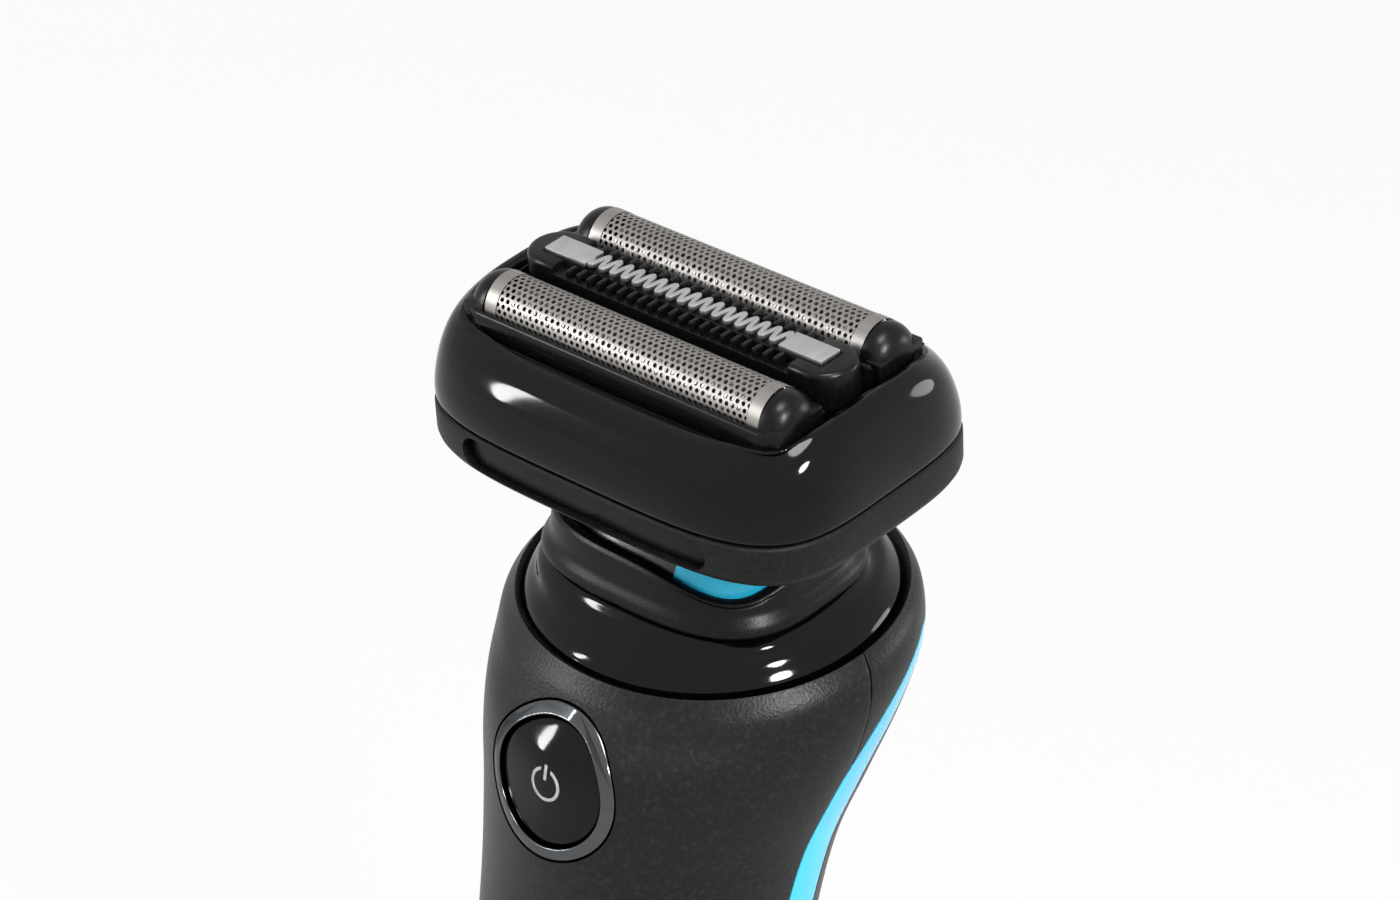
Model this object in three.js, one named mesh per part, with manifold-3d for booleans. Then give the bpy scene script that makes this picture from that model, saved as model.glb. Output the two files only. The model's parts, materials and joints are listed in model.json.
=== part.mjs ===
// Electric shaver: three-element foil head on a tilting neck, above a hand-sized grip that stands on its base.
// Millimetres, +Z up the grip, +X along the foils, the power button faces -Y.
import * as THREE from "three";
import Module from "manifold-3d";
import { mergeVertices } from "three/addons/utils/BufferGeometryUtils.js";

const wasm = await Module();
wasm.setup();

// ---- Driving dimensions ----
const FIT = 0.3; // running and seating clearance between neighbouring pieces
const WALL = 1.8; // moulded wall of the grip, the neck and the head
const SIDES = 32; // facets round each large section

const PIVOT_Z = 124; // height of the head's tilt axis above the base
const HEAD_TILT = THREE.MathUtils.degToRad(16); // the head leans this far to the front at rest
const COLLAR_TILT = THREE.MathUtils.degToRad(18.5);

const SEAM = 20; // joint between head base and cassette, above the tilt axis
const HEAD_X = 29.3; // half length of the head at the seam
const HEAD_Y = 20.5; // half depth of the head at the seam
const HEAD_POWER = 4.1; // squareness of the head's outline
const RING_HEIGHT = 4.6; // upright band of the head base
const BOWL_HEIGHT = 4.4; // bevel under that band
const BOWL_INSET = 5.6; // how far the bevel draws in
const APRON_X = 18.4; // half length of the inset apron
const APRON_HALF_HEIGHT = 2.1;
const APRON_DROP = 2.5; // middle of the apron below the seam
const APRON_SHEET = 0.8;
const APRON_DEPTH = 1; // how far the ring stands out from the apron

const FRAME_HEIGHT = 9.5; // cassette frame above the seam
const END_ARCH = 2.8; // rise of the frame's two end walls
const END_SHARE = 0.7; // how much less the end walls draw in than the long walls
const OPENING_GAP_X = 0.4; // between the opening in the cassette frame and what floats in it
const OPENING_CORNER = 1.8;
const OPENING_GAP_Y = 0.45;
const FOIL_LENGTH = 41;
const FOIL_HALF_WIDTH = 3.7;
const FOIL_SHEET = 0.35;
const FOIL_CREST = 14.9; // top of the foils above the seam
const FOIL_SPACING = 17.4; // between the two foil centre lines
const HOLDER_WALL = 0.45;
const HOLDER_END = 3.2; // bulb end of a foil holder past the foil
const HOLDER_HEIGHT = 6.4;
const TRIMMER_EXTRA = 0.4; // how much longer than a foil the trimmer is
const TRIMMER_WIDTH = 3.3;
const TRIMMER_TOP = 14.8;
const TRIMMER_SHEET = 0.8;
const LOBES = 17; // teeth of the wavy trimmer blade
const ROW_GAP = 0.35; // between the guard and each foil holder

const DOME_RADIUS = 12.8; // barrel round the tilt axis
const DOME_HALF_LENGTH = 15.6;
const NECK_RIM = 6.2; // top of the neck above the tilt axis, along the head
const NECK_X = 17.7;
const NECK_Y = 14.5;
const NECK_POWER = 3;
const PIN_RADIUS = 1.6;

const RIM_X = 22.6; // collar outline
const RIM_Y = 21.5;
const RIM_CENTRE_Y = 2.2;
const RIM_DROP = 4; // collar centre below the tilt axis
const COLLAR_LIP = 2.4;

const BASE_HEIGHT = 7;
const STRIP_Y = 1.5; // centre line of the side strips
const STRIP_WIDTH = 6;
const BUTTON_Z = 100;
const BUTTON_RADIUS = 7.6;
const BEZEL_WIDTH = 1.6;
const BUTTON_TRAVEL = 0.8;
const WINDOW_Z = 62;
const WINDOW_HEIGHT = 22;
const WINDOW_HALF_WIDTH = 3.2;

const BATTERY_RADIUS = 7.1;
const BATTERY_LENGTH = 49;
const BATTERY_Z = 20; // lower end of the battery
const BATTERY_Y = 4.5;
const MOTOR_RADIUS = 7.6;
const MOTOR_LENGTH = 21;
const MOTOR_Z = 77;
const BOARD_THICK = 1.2;
const BOARD_Y = -10.4; // rear face of the circuit board
const SOCKET_X = 9; // mouth of the charging socket
const SOCKET_Y = 5.5;
const SOCKET_DEPTH = 8;
const SOCKET_WALL = 1.1;
const CONTACT_RADIUS = 0.7;
const CONTACT_TIP = 5.2;
const PIN_PITCH = 3.6;

// ---- Materials ----
const paint = (colour, roughness, metalness = 0) =>
  new THREE.MeshStandardMaterial({ color: colour, roughness, metalness });
const GLOSS = () => paint(0x08090a, 0.12);
const SATIN = () => paint(0x17181a, 0.55);
const MINT = () => paint(0x2fc4c4, 0.3);
const STEEL = () => paint(0xc4c0b8, 0.3, 1);
const INNER = () => paint(0x3a3c3e, 0.6);
const RUBBER = () => paint(0x111111, 0.9);
const BOARD = () => paint(0x1d5a34, 0.5);
const CLEAR = () => paint(0xcfd8da, 0.2);

// ---- Solid helpers ----
function solid(geometry) {
  const bare = geometry.index ? geometry.toNonIndexed() : geometry.clone();
  bare.deleteAttribute("normal");
  bare.deleteAttribute("uv");
  const merged = mergeVertices(bare, 1e-4);
  return new wasm.Manifold(
    new wasm.Mesh({
      numProp: 3,
      vertProperties: merged.attributes.position.array,
      triVerts: new Uint32Array(merged.index.array),
    }),
  );
}

function geometryOf(body) {
  const raw = body.getMesh();
  const geometry = new THREE.BufferGeometry();
  geometry.setAttribute("position", new THREE.BufferAttribute(new Float32Array(raw.vertProperties), 3));
  geometry.setIndex(new THREE.BufferAttribute(new Uint32Array(raw.triVerts), 1));
  return geometry;
}

const cut = (body, ...tools) =>
  geometryOf(tools.reduce((rest, tool) => rest.subtract(solid(tool)), solid(body)));
const join = (...bodies) => geometryOf(bodies.map(solid).reduce((sum, body) => sum.add(body)));
const common = (body, tool) => geometryOf(solid(body).intersect(solid(tool)));

function piece(parent, name, geometry, material, x = 0, y = 0, z = 0) {
  const mesh = new THREE.Mesh(geometry, material);
  mesh.name = name;
  mesh.position.set(x, y, z);
  parent.add(mesh);
  return mesh;
}

const box = (x, y, z, cx = 0, cy = 0, cz = 0) => new THREE.BoxGeometry(x, y, z).translate(cx, cy, cz);

// Upright cylinder standing on z.
const post = (radius, height, x = 0, y = 0, z = 0, sides = 12) =>
  new THREE.CylinderGeometry(radius, radius, height, sides).rotateX(Math.PI / 2).translate(x, y, z + height / 2);

// Cylinder along X or along Y, centred.
const rodX = (radius, length, x = 0, y = 0, z = 0, sides = 12) =>
  new THREE.CylinderGeometry(radius, radius, length, sides).rotateZ(Math.PI / 2).translate(x, y, z);
const rodY = (radius, length, x = 0, y = 0, z = 0, sides = 12) =>
  new THREE.CylinderGeometry(radius, radius, length, sides).translate(x, y, z);

// Closed outline: a superellipse whose front and rear depths may differ, leaning about X and centred at (0, y, z).
// Its two ends may rise by an arch that fades towards the corners.
function ring(section, sides = SIDES) {
  const { z, y = 0, x, front, rear = front, power = 2, frontPower = power, lean = 0, arch = 0 } = section;
  return Array.from({ length: sides }, (_, i) => {
    const angle = (2 * Math.PI * i) / sides;
    const c = Math.cos(angle);
    const s = Math.sin(angle);
    const n = s < 0 ? frontPower : power;
    const depth = s < 0 ? front : rear;
    const point = new THREE.Vector3(
      x * Math.sign(c) * Math.abs(c) ** (2 / n),
      depth * Math.sign(s) * Math.abs(s) ** (2 / n),
      0,
    );
    point.z = arch * (point.x / x) ** 4 * (1 - (point.y / depth) ** 2);
    return point.applyAxisAngle(new THREE.Vector3(1, 0, 0), lean).add(new THREE.Vector3(0, y, z));
  });
}

// Solid skinned over rings of equal counts, listed from the lowest up.
function loft(sections, sides = SIDES) {
  const rings = sections.map((section) => ring(section, sides));
  const points = rings.flat();
  const index = [];
  for (let r = 0; r + 1 < rings.length; r += 1)
    for (let i = 0; i < sides; i += 1) {
      const j = (i + 1) % sides;
      const [a, b, c, d] = [r * sides + i, r * sides + j, (r + 1) * sides + j, (r + 1) * sides + i];
      index.push(a, b, c, a, c, d);
    }
  for (const [first, flip] of [[0, true], [(rings.length - 1) * sides, false]]) {
    const centre = points.length;
    const middle = new THREE.Vector3();
    for (let i = 0; i < sides; i += 1) middle.addScaledVector(points[first + i], 1 / sides);
    points.push(middle);
    for (let i = 0; i < sides; i += 1) {
      const j = (i + 1) % sides;
      index.push(...(flip ? [centre, first + j, first + i] : [centre, first + i, first + j]));
    }
  }
  const geometry = new THREE.BufferGeometry().setFromPoints(points);
  geometry.setIndex(index);
  return geometry;
}

// Same sections drawn in by an even wall.
const inset = (sections, wall) =>
  sections.map((s) => ({ ...s, x: s.x - wall, front: s.front - wall, rear: (s.rear ?? s.front) - wall }));

// Flat outline with round ends, from shape coordinates, extruded upwards.
function slab(shape, height, z = 0) {
  return new THREE.ExtrudeGeometry(shape, { depth: height, bevelEnabled: false, curveSegments: 5 })
    .translate(0, 0, z);
}

function stadium(halfLength, halfWidth, shape = new THREE.Shape()) {
  const straight = halfLength - halfWidth;
  shape.moveTo(-straight, -halfWidth);
  shape.lineTo(straight, -halfWidth);
  shape.absarc(straight, 0, halfWidth, -Math.PI / 2, Math.PI / 2, false);
  shape.lineTo(-straight, halfWidth);
  shape.absarc(-straight, 0, halfWidth, Math.PI / 2, (3 * Math.PI) / 2, false);
  return shape;
}

// Coil spring standing on z.
function coil(radius, wire, height, turns, x, y, z) {
  const points = Array.from({ length: turns * 6 + 1 }, (_, i) => {
    const angle = (i * Math.PI) / 3;
    const rise = wire / 2 + ((height - wire) * i) / (turns * 6);
    return new THREE.Vector3(x + radius * Math.cos(angle), y + radius * Math.sin(angle), z + rise);
  });
  const path = new THREE.CatmullRomCurve3(points);
  const section = new THREE.Shape().absarc(0, 0, wire / 2, 0, 2 * Math.PI);
  return new THREE.ExtrudeGeometry(section, { steps: turns * 6, extrudePath: path, curveSegments: 2 });
}

// ---- Head: heights below are above the tilt axis, along the head ----
const FOIL_X = FOIL_LENGTH / 2;
const HOLDER_X = FOIL_X + HOLDER_END;
const HOLDER_Y = FOIL_HALF_WIDTH + FIT + HOLDER_WALL;
const OPENING_X = HOLDER_X + OPENING_GAP_X;
const OPENING_Y = FOIL_SPACING / 2 + HOLDER_Y + OPENING_GAP_Y;
const TRIMMER_LENGTH = FOIL_LENGTH + TRIMMER_EXTRA;
const GUARD_HALF_WIDTH = FOIL_SPACING / 2 - HOLDER_Y - ROW_GAP;
const HOLDER_BASE = SEAM + 5.2;
const FOIL_BASE = HOLDER_BASE + 1.4;
const CREST = SEAM + FOIL_CREST;
const CRADLE_Z = SEAM + FIT; // floor of the cassette
const CRADLE_THICK = 1.2;
const CRADLE_SLOT_X = 34; // slots in the floor for the drive stems
const CRADLE_SLOT_Y = 4.6;
const DECK_Z = SEAM - 5; // deck of the head base under the drive bridge
const DECK_THICK = 1.4;
const BRIDGE_Z = DECK_Z + DECK_THICK + FIT;
const BRIDGE_THICK = 1.6;
const FLOAT = 2; // travel of each foil and of the trimmer
const POST_X = 2;
const POST_Y = 1.2;
const POST_TOP = SEAM + 4.5;
const STEM_BASE = SEAM + 2.4;
const BLOCK_RADIUS = FOIL_HALF_WIDTH - FOIL_SHEET - FIT;
const BLOCK_BASE = FOIL_BASE + FIT;
const TRIMMER_Z = SEAM + TRIMMER_TOP - TRIMMER_SHEET;
const TRIMMER_CUTTER_THICK = 1;
const GUARD_BASE = SEAM + 6;
const BOWL_Z = SEAM - RING_HEIGHT - BOWL_HEIGHT;
const LEVER_SLOT_X = 4.2; // half length of the lever's slot through deck and dome
const LEVER_SLOT_Y = 6.5;

function headOutline(z, insetBy) {
  return { z, x: HEAD_X - insetBy, front: HEAD_Y - insetBy, power: HEAD_POWER };
}

function headBase() {
  const outside = [
    headOutline(BOWL_Z, BOWL_INSET),
    headOutline(BOWL_Z + BOWL_HEIGHT * 0.85, 0.9),
    headOutline(BOWL_Z + BOWL_HEIGHT, 0.15),
    headOutline(SEAM - 0.5, 0),
    headOutline(SEAM, 0.3),
  ];
  const shell = cut(
    loft(outside),
    loft([headOutline(BOWL_Z + WALL, BOWL_INSET + WALL), headOutline(SEAM - RING_HEIGHT, WALL + 1),
      headOutline(SEAM + 1, WALL + 1)]),
  );
  const deck = common(loft([headOutline(DECK_Z, WALL), headOutline(DECK_Z + DECK_THICK, WALL)]), loft(outside));
  return cut(
    join(shell, deck),
    box(2 * LEVER_SLOT_X, 2 * LEVER_SLOT_Y, 20, 0, 0, DECK_Z),
    apronZone(-1, 0, APRON_DEPTH + APRON_SHEET + FIT, 0),
    apronZone(1, 0, APRON_DEPTH + APRON_SHEET + FIT, 0),
  );
}

// Layer under the head's front or rear face, between two depths, inside the apron's round-ended outline.
function apronZone(side, shallow, deep, margin) {
  const reach = HEAD_Y + 2;
  const outline = slab(stadium(APRON_X - margin, APRON_HALF_HEIGHT - margin), reach)
    .rotateX(Math.PI / 2)
    .translate(0, side > 0 ? reach : 0, SEAM - APRON_DROP);
  const layer = (depth) => loft([headOutline(SEAM - 9, depth), headOutline(SEAM + 1, depth)]);
  return cut(shallow ? common(outline, layer(shallow)) : outline, layer(deep));
}

const apron = (side) => apronZone(side, APRON_DEPTH, APRON_DEPTH + APRON_SHEET, FIT);

function cassetteFrame() {
  const top = SEAM + FRAME_HEIGHT;
  const wallOutline = (z, insetBy, share) =>
    ({ ...headOutline(z, insetBy), x: HEAD_X - END_SHARE * insetBy, arch: share * END_ARCH });
  const outside = [
    wallOutline(SEAM + FIT, 0.4, 0),
    wallOutline(SEAM + 0.9, 0.1, 0),
    wallOutline(SEAM + 4.5, 0.7, 0.3),
    wallOutline(SEAM + 7, 1.9, 0.7),
    wallOutline(SEAM + 8.4, 3.4, 0.95),
    wallOutline(top, 5.2, 1),
  ];
  const opening = stadiumBox(OPENING_X, OPENING_Y, OPENING_CORNER);
  const room = slab(opening, 2 * FRAME_HEIGHT + END_ARCH, CRADLE_Z + CRADLE_THICK);
  const cradleSlots = [-1, 0, 1].map((row) =>
    box(CRADLE_SLOT_X, CRADLE_SLOT_Y, 8, 0, row * FOIL_SPACING / 2, CRADLE_Z));
  return cut(loft(outside), room, ...cradleSlots);
}

// Rectangle with round corners.
function stadiumBox(halfX, halfY, radius) {
  const shape = new THREE.Shape();
  shape.moveTo(radius - halfX, -halfY);
  shape.lineTo(halfX - radius, -halfY);
  shape.absarc(halfX - radius, radius - halfY, radius, -Math.PI / 2, 0, false);
  shape.lineTo(halfX, halfY - radius);
  shape.absarc(halfX - radius, halfY - radius, radius, 0, Math.PI / 2, false);
  shape.lineTo(radius - halfX, halfY);
  shape.absarc(radius - halfX, halfY - radius, radius, Math.PI / 2, Math.PI, false);
  shape.lineTo(-halfX, radius - halfY);
  shape.absarc(radius - halfX, radius - halfY, radius, Math.PI, 1.5 * Math.PI, false);
  return shape;
}

// Arch cross-section in Y and Z, extruded along X about x = 0.
function archBar(radius, crest, base, length, bore = 0) {
  const shape = new THREE.Shape();
  shape.moveTo(radius, base);
  shape.lineTo(radius, crest - radius);
  shape.absarc(0, crest - radius, radius, 0, Math.PI, false);
  shape.lineTo(-radius, base);
  if (bore) {
    shape.lineTo(-bore, base);
    shape.absarc(0, crest - radius, bore, Math.PI, 0, true);
    shape.lineTo(bore, base);
  }
  return new THREE.ExtrudeGeometry(shape, { depth: length, bevelEnabled: false, curveSegments: 10 })
    .rotateX(Math.PI / 2)
    .rotateZ(Math.PI / 2)
    .translate(-length / 2, 0, 0);
}

const foilSheet = () =>
  archBar(FOIL_HALF_WIDTH, CREST, FOIL_BASE, FOIL_LENGTH, FOIL_HALF_WIDTH - FOIL_SHEET);

function foilHolder() {
  const body = slab(stadiumBox(HOLDER_X, HOLDER_Y, 1.6), HOLDER_HEIGHT, HOLDER_BASE);
  const roomZ = FOIL_BASE - FIT + HOLDER_HEIGHT / 2;
  const foilRoom = box(FOIL_LENGTH + 2 * FIT, 2 * (FOIL_HALF_WIDTH + FIT), HOLDER_HEIGHT, 0, 0, roomZ);
  const cutterRoom = box(FOIL_LENGTH - 3, 2 * BLOCK_RADIUS, 20, 0, 0, HOLDER_BASE);
  const endCap = (side) => archBar(FOIL_HALF_WIDTH, CREST - 0.9, HOLDER_BASE + 1, HOLDER_END - FIT)
    .translate(side * (HOLDER_X - (HOLDER_END - FIT) / 2), 0, 0);
  return cut(join(cut(body, foilRoom), endCap(-1), endCap(1)), cutterRoom);
}

// Hollow stem by which a cutter stands over its post on the bridge, free to rise and sink on it.
const driveStem = (top) => box(4.6, 2.8, top - STEM_BASE, 0, 0, (top + STEM_BASE) / 2);
const driveSocket = () =>
  box(POST_X + 2 * FIT, POST_Y + 2 * FIT, POST_TOP + FLOAT + FIT - STEM_BASE + 1, 0, 0,
    (POST_TOP + FLOAT + FIT + STEM_BASE - 1) / 2);

function cutterBlock() {
  const bar = archBar(BLOCK_RADIUS, CREST - FOIL_SHEET - FIT, BLOCK_BASE, FOIL_LENGTH - 5);
  return cut(join(bar, driveStem(BLOCK_BASE + 1)), driveSocket());
}

function trimmerGuard() {
  const half = HOLDER_X;
  const frame = cut(
    slab(stadium(half, GUARD_HALF_WIDTH), TRIMMER_Z - GUARD_BASE + 0.4, GUARD_BASE),
    box(TRIMMER_LENGTH - 1.4, 3.4, 30, 0, 0, GUARD_BASE + 12),
  );
  return cut(frame, box(TRIMMER_LENGTH + 2 * FIT, TRIMMER_WIDTH + 2 * FIT, 4, 0, 0, TRIMMER_Z - FIT + 2));
}

// Flat plate with a wavy edge on both long sides between its two square ends.
function trimmerComb() {
  const pitch = (TRIMMER_LENGTH - 2 * 6.5) / LOBES;
  const halfX = TRIMMER_LENGTH / 2;
  const halfY = TRIMMER_WIDTH / 2;
  const waveY = (t) => halfY - 0.45 * (1 + Math.cos(2 * Math.PI * t));
  const shape = new THREE.Shape();
  shape.moveTo(-halfX, -halfY);
  const steps = LOBES * 4;
  const start = -(pitch * LOBES) / 2;
  for (let i = 0; i <= steps; i += 1) shape.lineTo(start + (i * pitch) / 4, -waveY(i / 4 + 0.5));
  shape.lineTo(halfX, -halfY);
  shape.lineTo(halfX, halfY);
  for (let i = steps; i >= 0; i -= 1) shape.lineTo(start + (i * pitch) / 4, waveY(i / 4));
  shape.lineTo(-halfX, halfY);
  return slab(shape, TRIMMER_SHEET, TRIMMER_Z);
}

function trimmerCutter() {
  const top = TRIMMER_Z - FIT;
  const bar = join(
    box(TRIMMER_LENGTH - 6, 2.4, TRIMMER_CUTTER_THICK, 0, 0, top - TRIMMER_CUTTER_THICK / 2),
    driveStem(top - 0.4),
  );
  return cut(bar, driveSocket());
}

function driveBridge() {
  const stems = [-1, 0, 1].map((row) =>
    box(POST_X, POST_Y, POST_TOP - BRIDGE_Z, 0, (row * FOIL_SPACING) / 2, (POST_TOP + BRIDGE_Z) / 2));
  const plate = slab(stadiumBox(14, FOIL_SPACING / 2 + 2.6, 2), BRIDGE_THICK, BRIDGE_Z);
  return cut(join(plate, ...stems), box(3.4, 12.4, 20, 0, 0, BRIDGE_Z - 10 + BRIDGE_THICK - 0.6));
}

const ROWS = { front: -1, rear: 1 };

function buildHead(parent) {
  piece(parent, "head_base", headBase(), SATIN());
  piece(parent, "head_dome", headDome(), MINT());
  piece(parent, "front_apron", apron(-1), SATIN());
  piece(parent, "rear_apron", apron(1), SATIN());
  piece(parent, "cassette_frame", cassetteFrame(), GLOSS());
  for (const [name, side] of Object.entries(ROWS)) {
    const y = (side * FOIL_SPACING) / 2;
    piece(parent, `${name}_foil`, foilSheet(), STEEL(), 0, y);
    piece(parent, `${name}_foil_holder`, foilHolder(), GLOSS(), 0, y);
    piece(parent, `${name}_cutter_block`, cutterBlock(), STEEL(), 0, y);
    for (const [hand, way] of [["left", -1], ["right", 1]]) {
      const floor = CRADLE_Z + CRADLE_THICK + FIT / 2;
      const spring = coil(1.3, 0.5, HOLDER_BASE - FIT / 2 - floor, 4, way * (HOLDER_X - 2.4), y, floor);
      piece(parent, `${name}_float_spring_${hand}`, spring, STEEL());
    }
  }
  piece(parent, "trimmer_guard", trimmerGuard(), GLOSS());
  piece(parent, "trimmer_comb", trimmerComb(), STEEL());
  piece(parent, "trimmer_cutter", trimmerCutter(), STEEL());
  piece(parent, "drive_bridge", driveBridge(), INNER());
}

// ---- Neck: heights are above the tilt axis, along the head at rest ----
const LEVER_PIVOT = -12;
const LEVER_PIN_RADIUS = 1.2;
const ECCENTRIC_Z = -22.5;
const ECCENTRIC_OFFSET = 0.9;
const ECCENTRIC_RADIUS = 1;
const YOKE_X = 10.2; // middle of each yoke arm
const YOKE_THICK = 2;
const YOKE_BASE = -9;
const YOKE_PLATE = 1.6;
const LUG_Y = 5;
const LUG_HEIGHT = 6;
const SEAL_THICK = 1.6;
const MOTOR_Y = -ECCENTRIC_Z * Math.sin(HEAD_TILT) - ECCENTRIC_OFFSET;
const COLLAR_TOP = 0;

// Barrel of revolution about X whose outline is a superellipse, closed at both tips.
function barrel(halfLength, radius) {
  const profile = Array.from({ length: 13 }, (_, i) => {
    const angle = -Math.PI / 2 + (Math.PI * i) / 12;
    const along = halfLength * Math.sign(Math.sin(angle)) * Math.abs(Math.sin(angle)) ** (2 / NECK_POWER);
    const out = i % 12 === 0 ? 0 : radius * Math.cos(angle) ** (2 / NECK_POWER);
    return new THREE.Vector2(out, along);
  });
  return new THREE.LatheGeometry(profile, 24).rotateZ(-Math.PI / 2);
}

function headDome() {
  const above = BOWL_Z - FIT;
  const room = 60;
  return cut(
    barrel(DOME_HALF_LENGTH, DOME_RADIUS),
    barrel(DOME_HALF_LENGTH - WALL, DOME_RADIUS - WALL),
    box(room, room, room, 0, 0, above + room / 2),
    box(room, room, room, 0, 0, -room / 2 - 4),
    box(2 * LEVER_SLOT_X, 2 * LEVER_SLOT_Y, room, 0, 0, above),
    rodX(PIN_RADIUS + FIT, room),
  );
}

function neckCover() {
  const swell = NECK_Y - 1.2;
  const outside = [
    { z: COLLAR_TOP + FIT, x: NECK_X + 1.1, front: NECK_Y + 0.4, power: NECK_POWER },
    { z: COLLAR_TOP + 1.3, x: NECK_X + 1, front: NECK_Y + 0.3, power: NECK_POWER },
    { z: COLLAR_TOP + 2.6, x: NECK_X, front: NECK_Y - 0.4, power: NECK_POWER },
    { z: COLLAR_TOP + 4.6, x: NECK_X - 0.2, front: NECK_Y - 0.8, power: NECK_POWER },
    { z: NECK_RIM - 0.4, x: NECK_X - 0.4, front: swell, power: NECK_POWER },
    { z: NECK_RIM, x: NECK_X - 0.8, front: swell - 0.3, power: NECK_POWER },
  ];
  return cut(loft(outside), barrel(DOME_HALF_LENGTH + FIT, DOME_RADIUS + FIT));
}

function yoke() {
  const top = 2.6;
  const arms = [-1, 1].map((side) =>
    box(YOKE_THICK, 7, top - YOKE_BASE, side * YOKE_X, 0, (top + YOKE_BASE) / 2));
  const lugs = [-1, 1].map((side) =>
    box(6, 2, LUG_HEIGHT + 1, 0, side * LUG_Y, YOKE_BASE + (1 - LUG_HEIGHT) / 2));
  const plate = slab(stadiumBox(15.4, 12.4, 4), YOKE_PLATE, YOKE_BASE);
  return cut(
    join(plate, ...arms, ...lugs),
    box(6, 2 * LUG_Y - 2, 10, 0, 0, YOKE_BASE),
    rodX(PIN_RADIUS + FIT, 60),
    rodY(LEVER_PIN_RADIUS + FIT, 60, 0, 0, LEVER_PIVOT),
  );
}

function driveLever() {
  const tip = BRIDGE_Z + BRIDGE_THICK - 0.9;
  const arm = box(2.4, 3, tip - 1 - ECCENTRIC_Z, 0, 0, (tip - 1 + ECCENTRIC_Z) / 2);
  const hub = rodY(LEVER_PIN_RADIUS + 1.6, 2 * LUG_Y - 2 - 2 * FIT, 0, 0, LEVER_PIVOT);
  const slot = ECCENTRIC_RADIUS + ECCENTRIC_OFFSET + FIT + 0.5;
  const fork = box(2 * slot + 3, 2 * slot + 4, 4.6, 0, 0, ECCENTRIC_Z + 0.9);
  const knob = rodY(1.4, 2, 0, 0, tip - 1.4);
  return cut(
    join(arm, hub, fork, knob),
    rodY(LEVER_PIN_RADIUS + FIT, 60, 0, 0, LEVER_PIVOT),
    box(2 * slot, 2 * slot + 1.6, 8, 0, 0, ECCENTRIC_Z - 4 + 1.6),
  );
}

function driveSeal() {
  const shape = stadium(8.6, 6.4);
  shape.holes.push(new THREE.Path().absellipse(0, 0, 3.4, 3.4, 0, 2 * Math.PI, true));
  return slab(shape, SEAL_THICK, YOKE_BASE - LUG_HEIGHT - FIT - SEAL_THICK);
}

function buildNeck(parent) {
  piece(parent, "neck_cover", neckCover(), SATIN());
  piece(parent, "swivel_yoke", yoke(), INNER());
  for (const [hand, side] of [["left", -1], ["right", 1]]) {
    const inner = YOKE_X - YOKE_THICK / 2 - 1;
    const outer = DOME_HALF_LENGTH - FIT;
    piece(parent, `pivot_pin_${hand}`, rodX(PIN_RADIUS, outer - inner), STEEL(), (side * (outer + inner)) / 2);
  }
  piece(parent, "drive_lever", driveLever(), INNER());
  piece(parent, "lever_pin", rodY(LEVER_PIN_RADIUS, 2 * LUG_Y + 2), STEEL(), 0, 0, LEVER_PIVOT);
  piece(parent, "drive_seal", driveSeal(), RUBBER());
}

// ---- Grip: heights are above the base ----
const OUTER = [
  { z: BASE_HEIGHT + FIT, y: 0.6, x: 18.4, front: 17.4, rear: 17, power: 2.3 },
  { z: 30, y: 0, x: 19, front: 17.4, rear: 17.2, power: 2.3 },
  { z: 55, y: -0.6, x: 19.6, front: 17.8, rear: 17.2, power: 2.3 },
  { z: 78, y: -1.2, x: 20.4, front: 19.2, rear: 17.4, power: 2.3, frontPower: 2.1 },
  { z: 92, y: -1.2, x: 21.6, front: 22, rear: 18.8, power: 2.2, frontPower: 1.9 },
  { z: 101, y: -0.8, x: 23.6, front: 24.2, rear: 21.8, power: 2.2, frontPower: 1.75, lean: 0.06 },
  { z: PIVOT_Z - 15.6, y: 0.8, x: 25.3, front: 25.8, rear: 24, power: 2.15, frontPower: 1.72, lean: 0.17 },
  { z: PIVOT_Z - 10, y: 1.8, x: 25.9, front: 24.8, rear: 25, power: 2.15, frontPower: 1.8, lean: 0.26 },
  { z: PIVOT_Z - 6.2, y: 2.1, x: 25.2, front: 23.4, rear: 24.4, power: 2.1, frontPower: 2, lean: COLLAR_TILT },
  {
    z: PIVOT_Z - RIM_DROP, y: RIM_CENTRE_Y, x: RIM_X + 1.3, front: RIM_Y + 1.1, rear: RIM_Y + 1.6,
    power: 2.05, lean: COLLAR_TILT,
  },
];

// Front face of the grip at a height, between two of the sections above.
function faceY(z) {
  const above = OUTER.findIndex((s) => s.z > z);
  const [low, high] = [OUTER[above - 1], OUTER[above]];
  const t = (z - low.z) / (high.z - low.z);
  return THREE.MathUtils.lerp(low.y - low.front, high.y - high.front, t);
}

const along = (distance, lean) => ({ y: -distance * Math.sin(lean), z: distance * Math.cos(lean) });

// Ring of the collar, a distance above its plane.
function collarRing(height, x, depth, power = 2.05) {
  const rise = along(height, COLLAR_TILT);
  return {
    z: PIVOT_Z - RIM_DROP + rise.z, y: RIM_CENTRE_Y + rise.y, x, front: depth, power, lean: COLLAR_TILT,
  };
}

// Sections of the grip's inside below the collar, drawn in by a wall and reaching into the base cap.
function insideRoom(wall) {
  const room = inset(OUTER.slice(0, -2), wall);
  room[0].z -= 4;
  return room;
}

function gripShell() {
  const inner = insideRoom(WALL);
  const neckWay = [collarRing(-COLLAR_LIP - 1.4, RIM_X - 2, RIM_Y - 2), collarRing(2, RIM_X - 2, RIM_Y - 2)];
  const seat = [collarRing(-COLLAR_LIP, RIM_X + FIT, RIM_Y + FIT), collarRing(2, RIM_X + FIT, RIM_Y + FIT)];
  return cut(loft(OUTER), loft([...inner, ...neckWay]), loft(seat));
}

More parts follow.
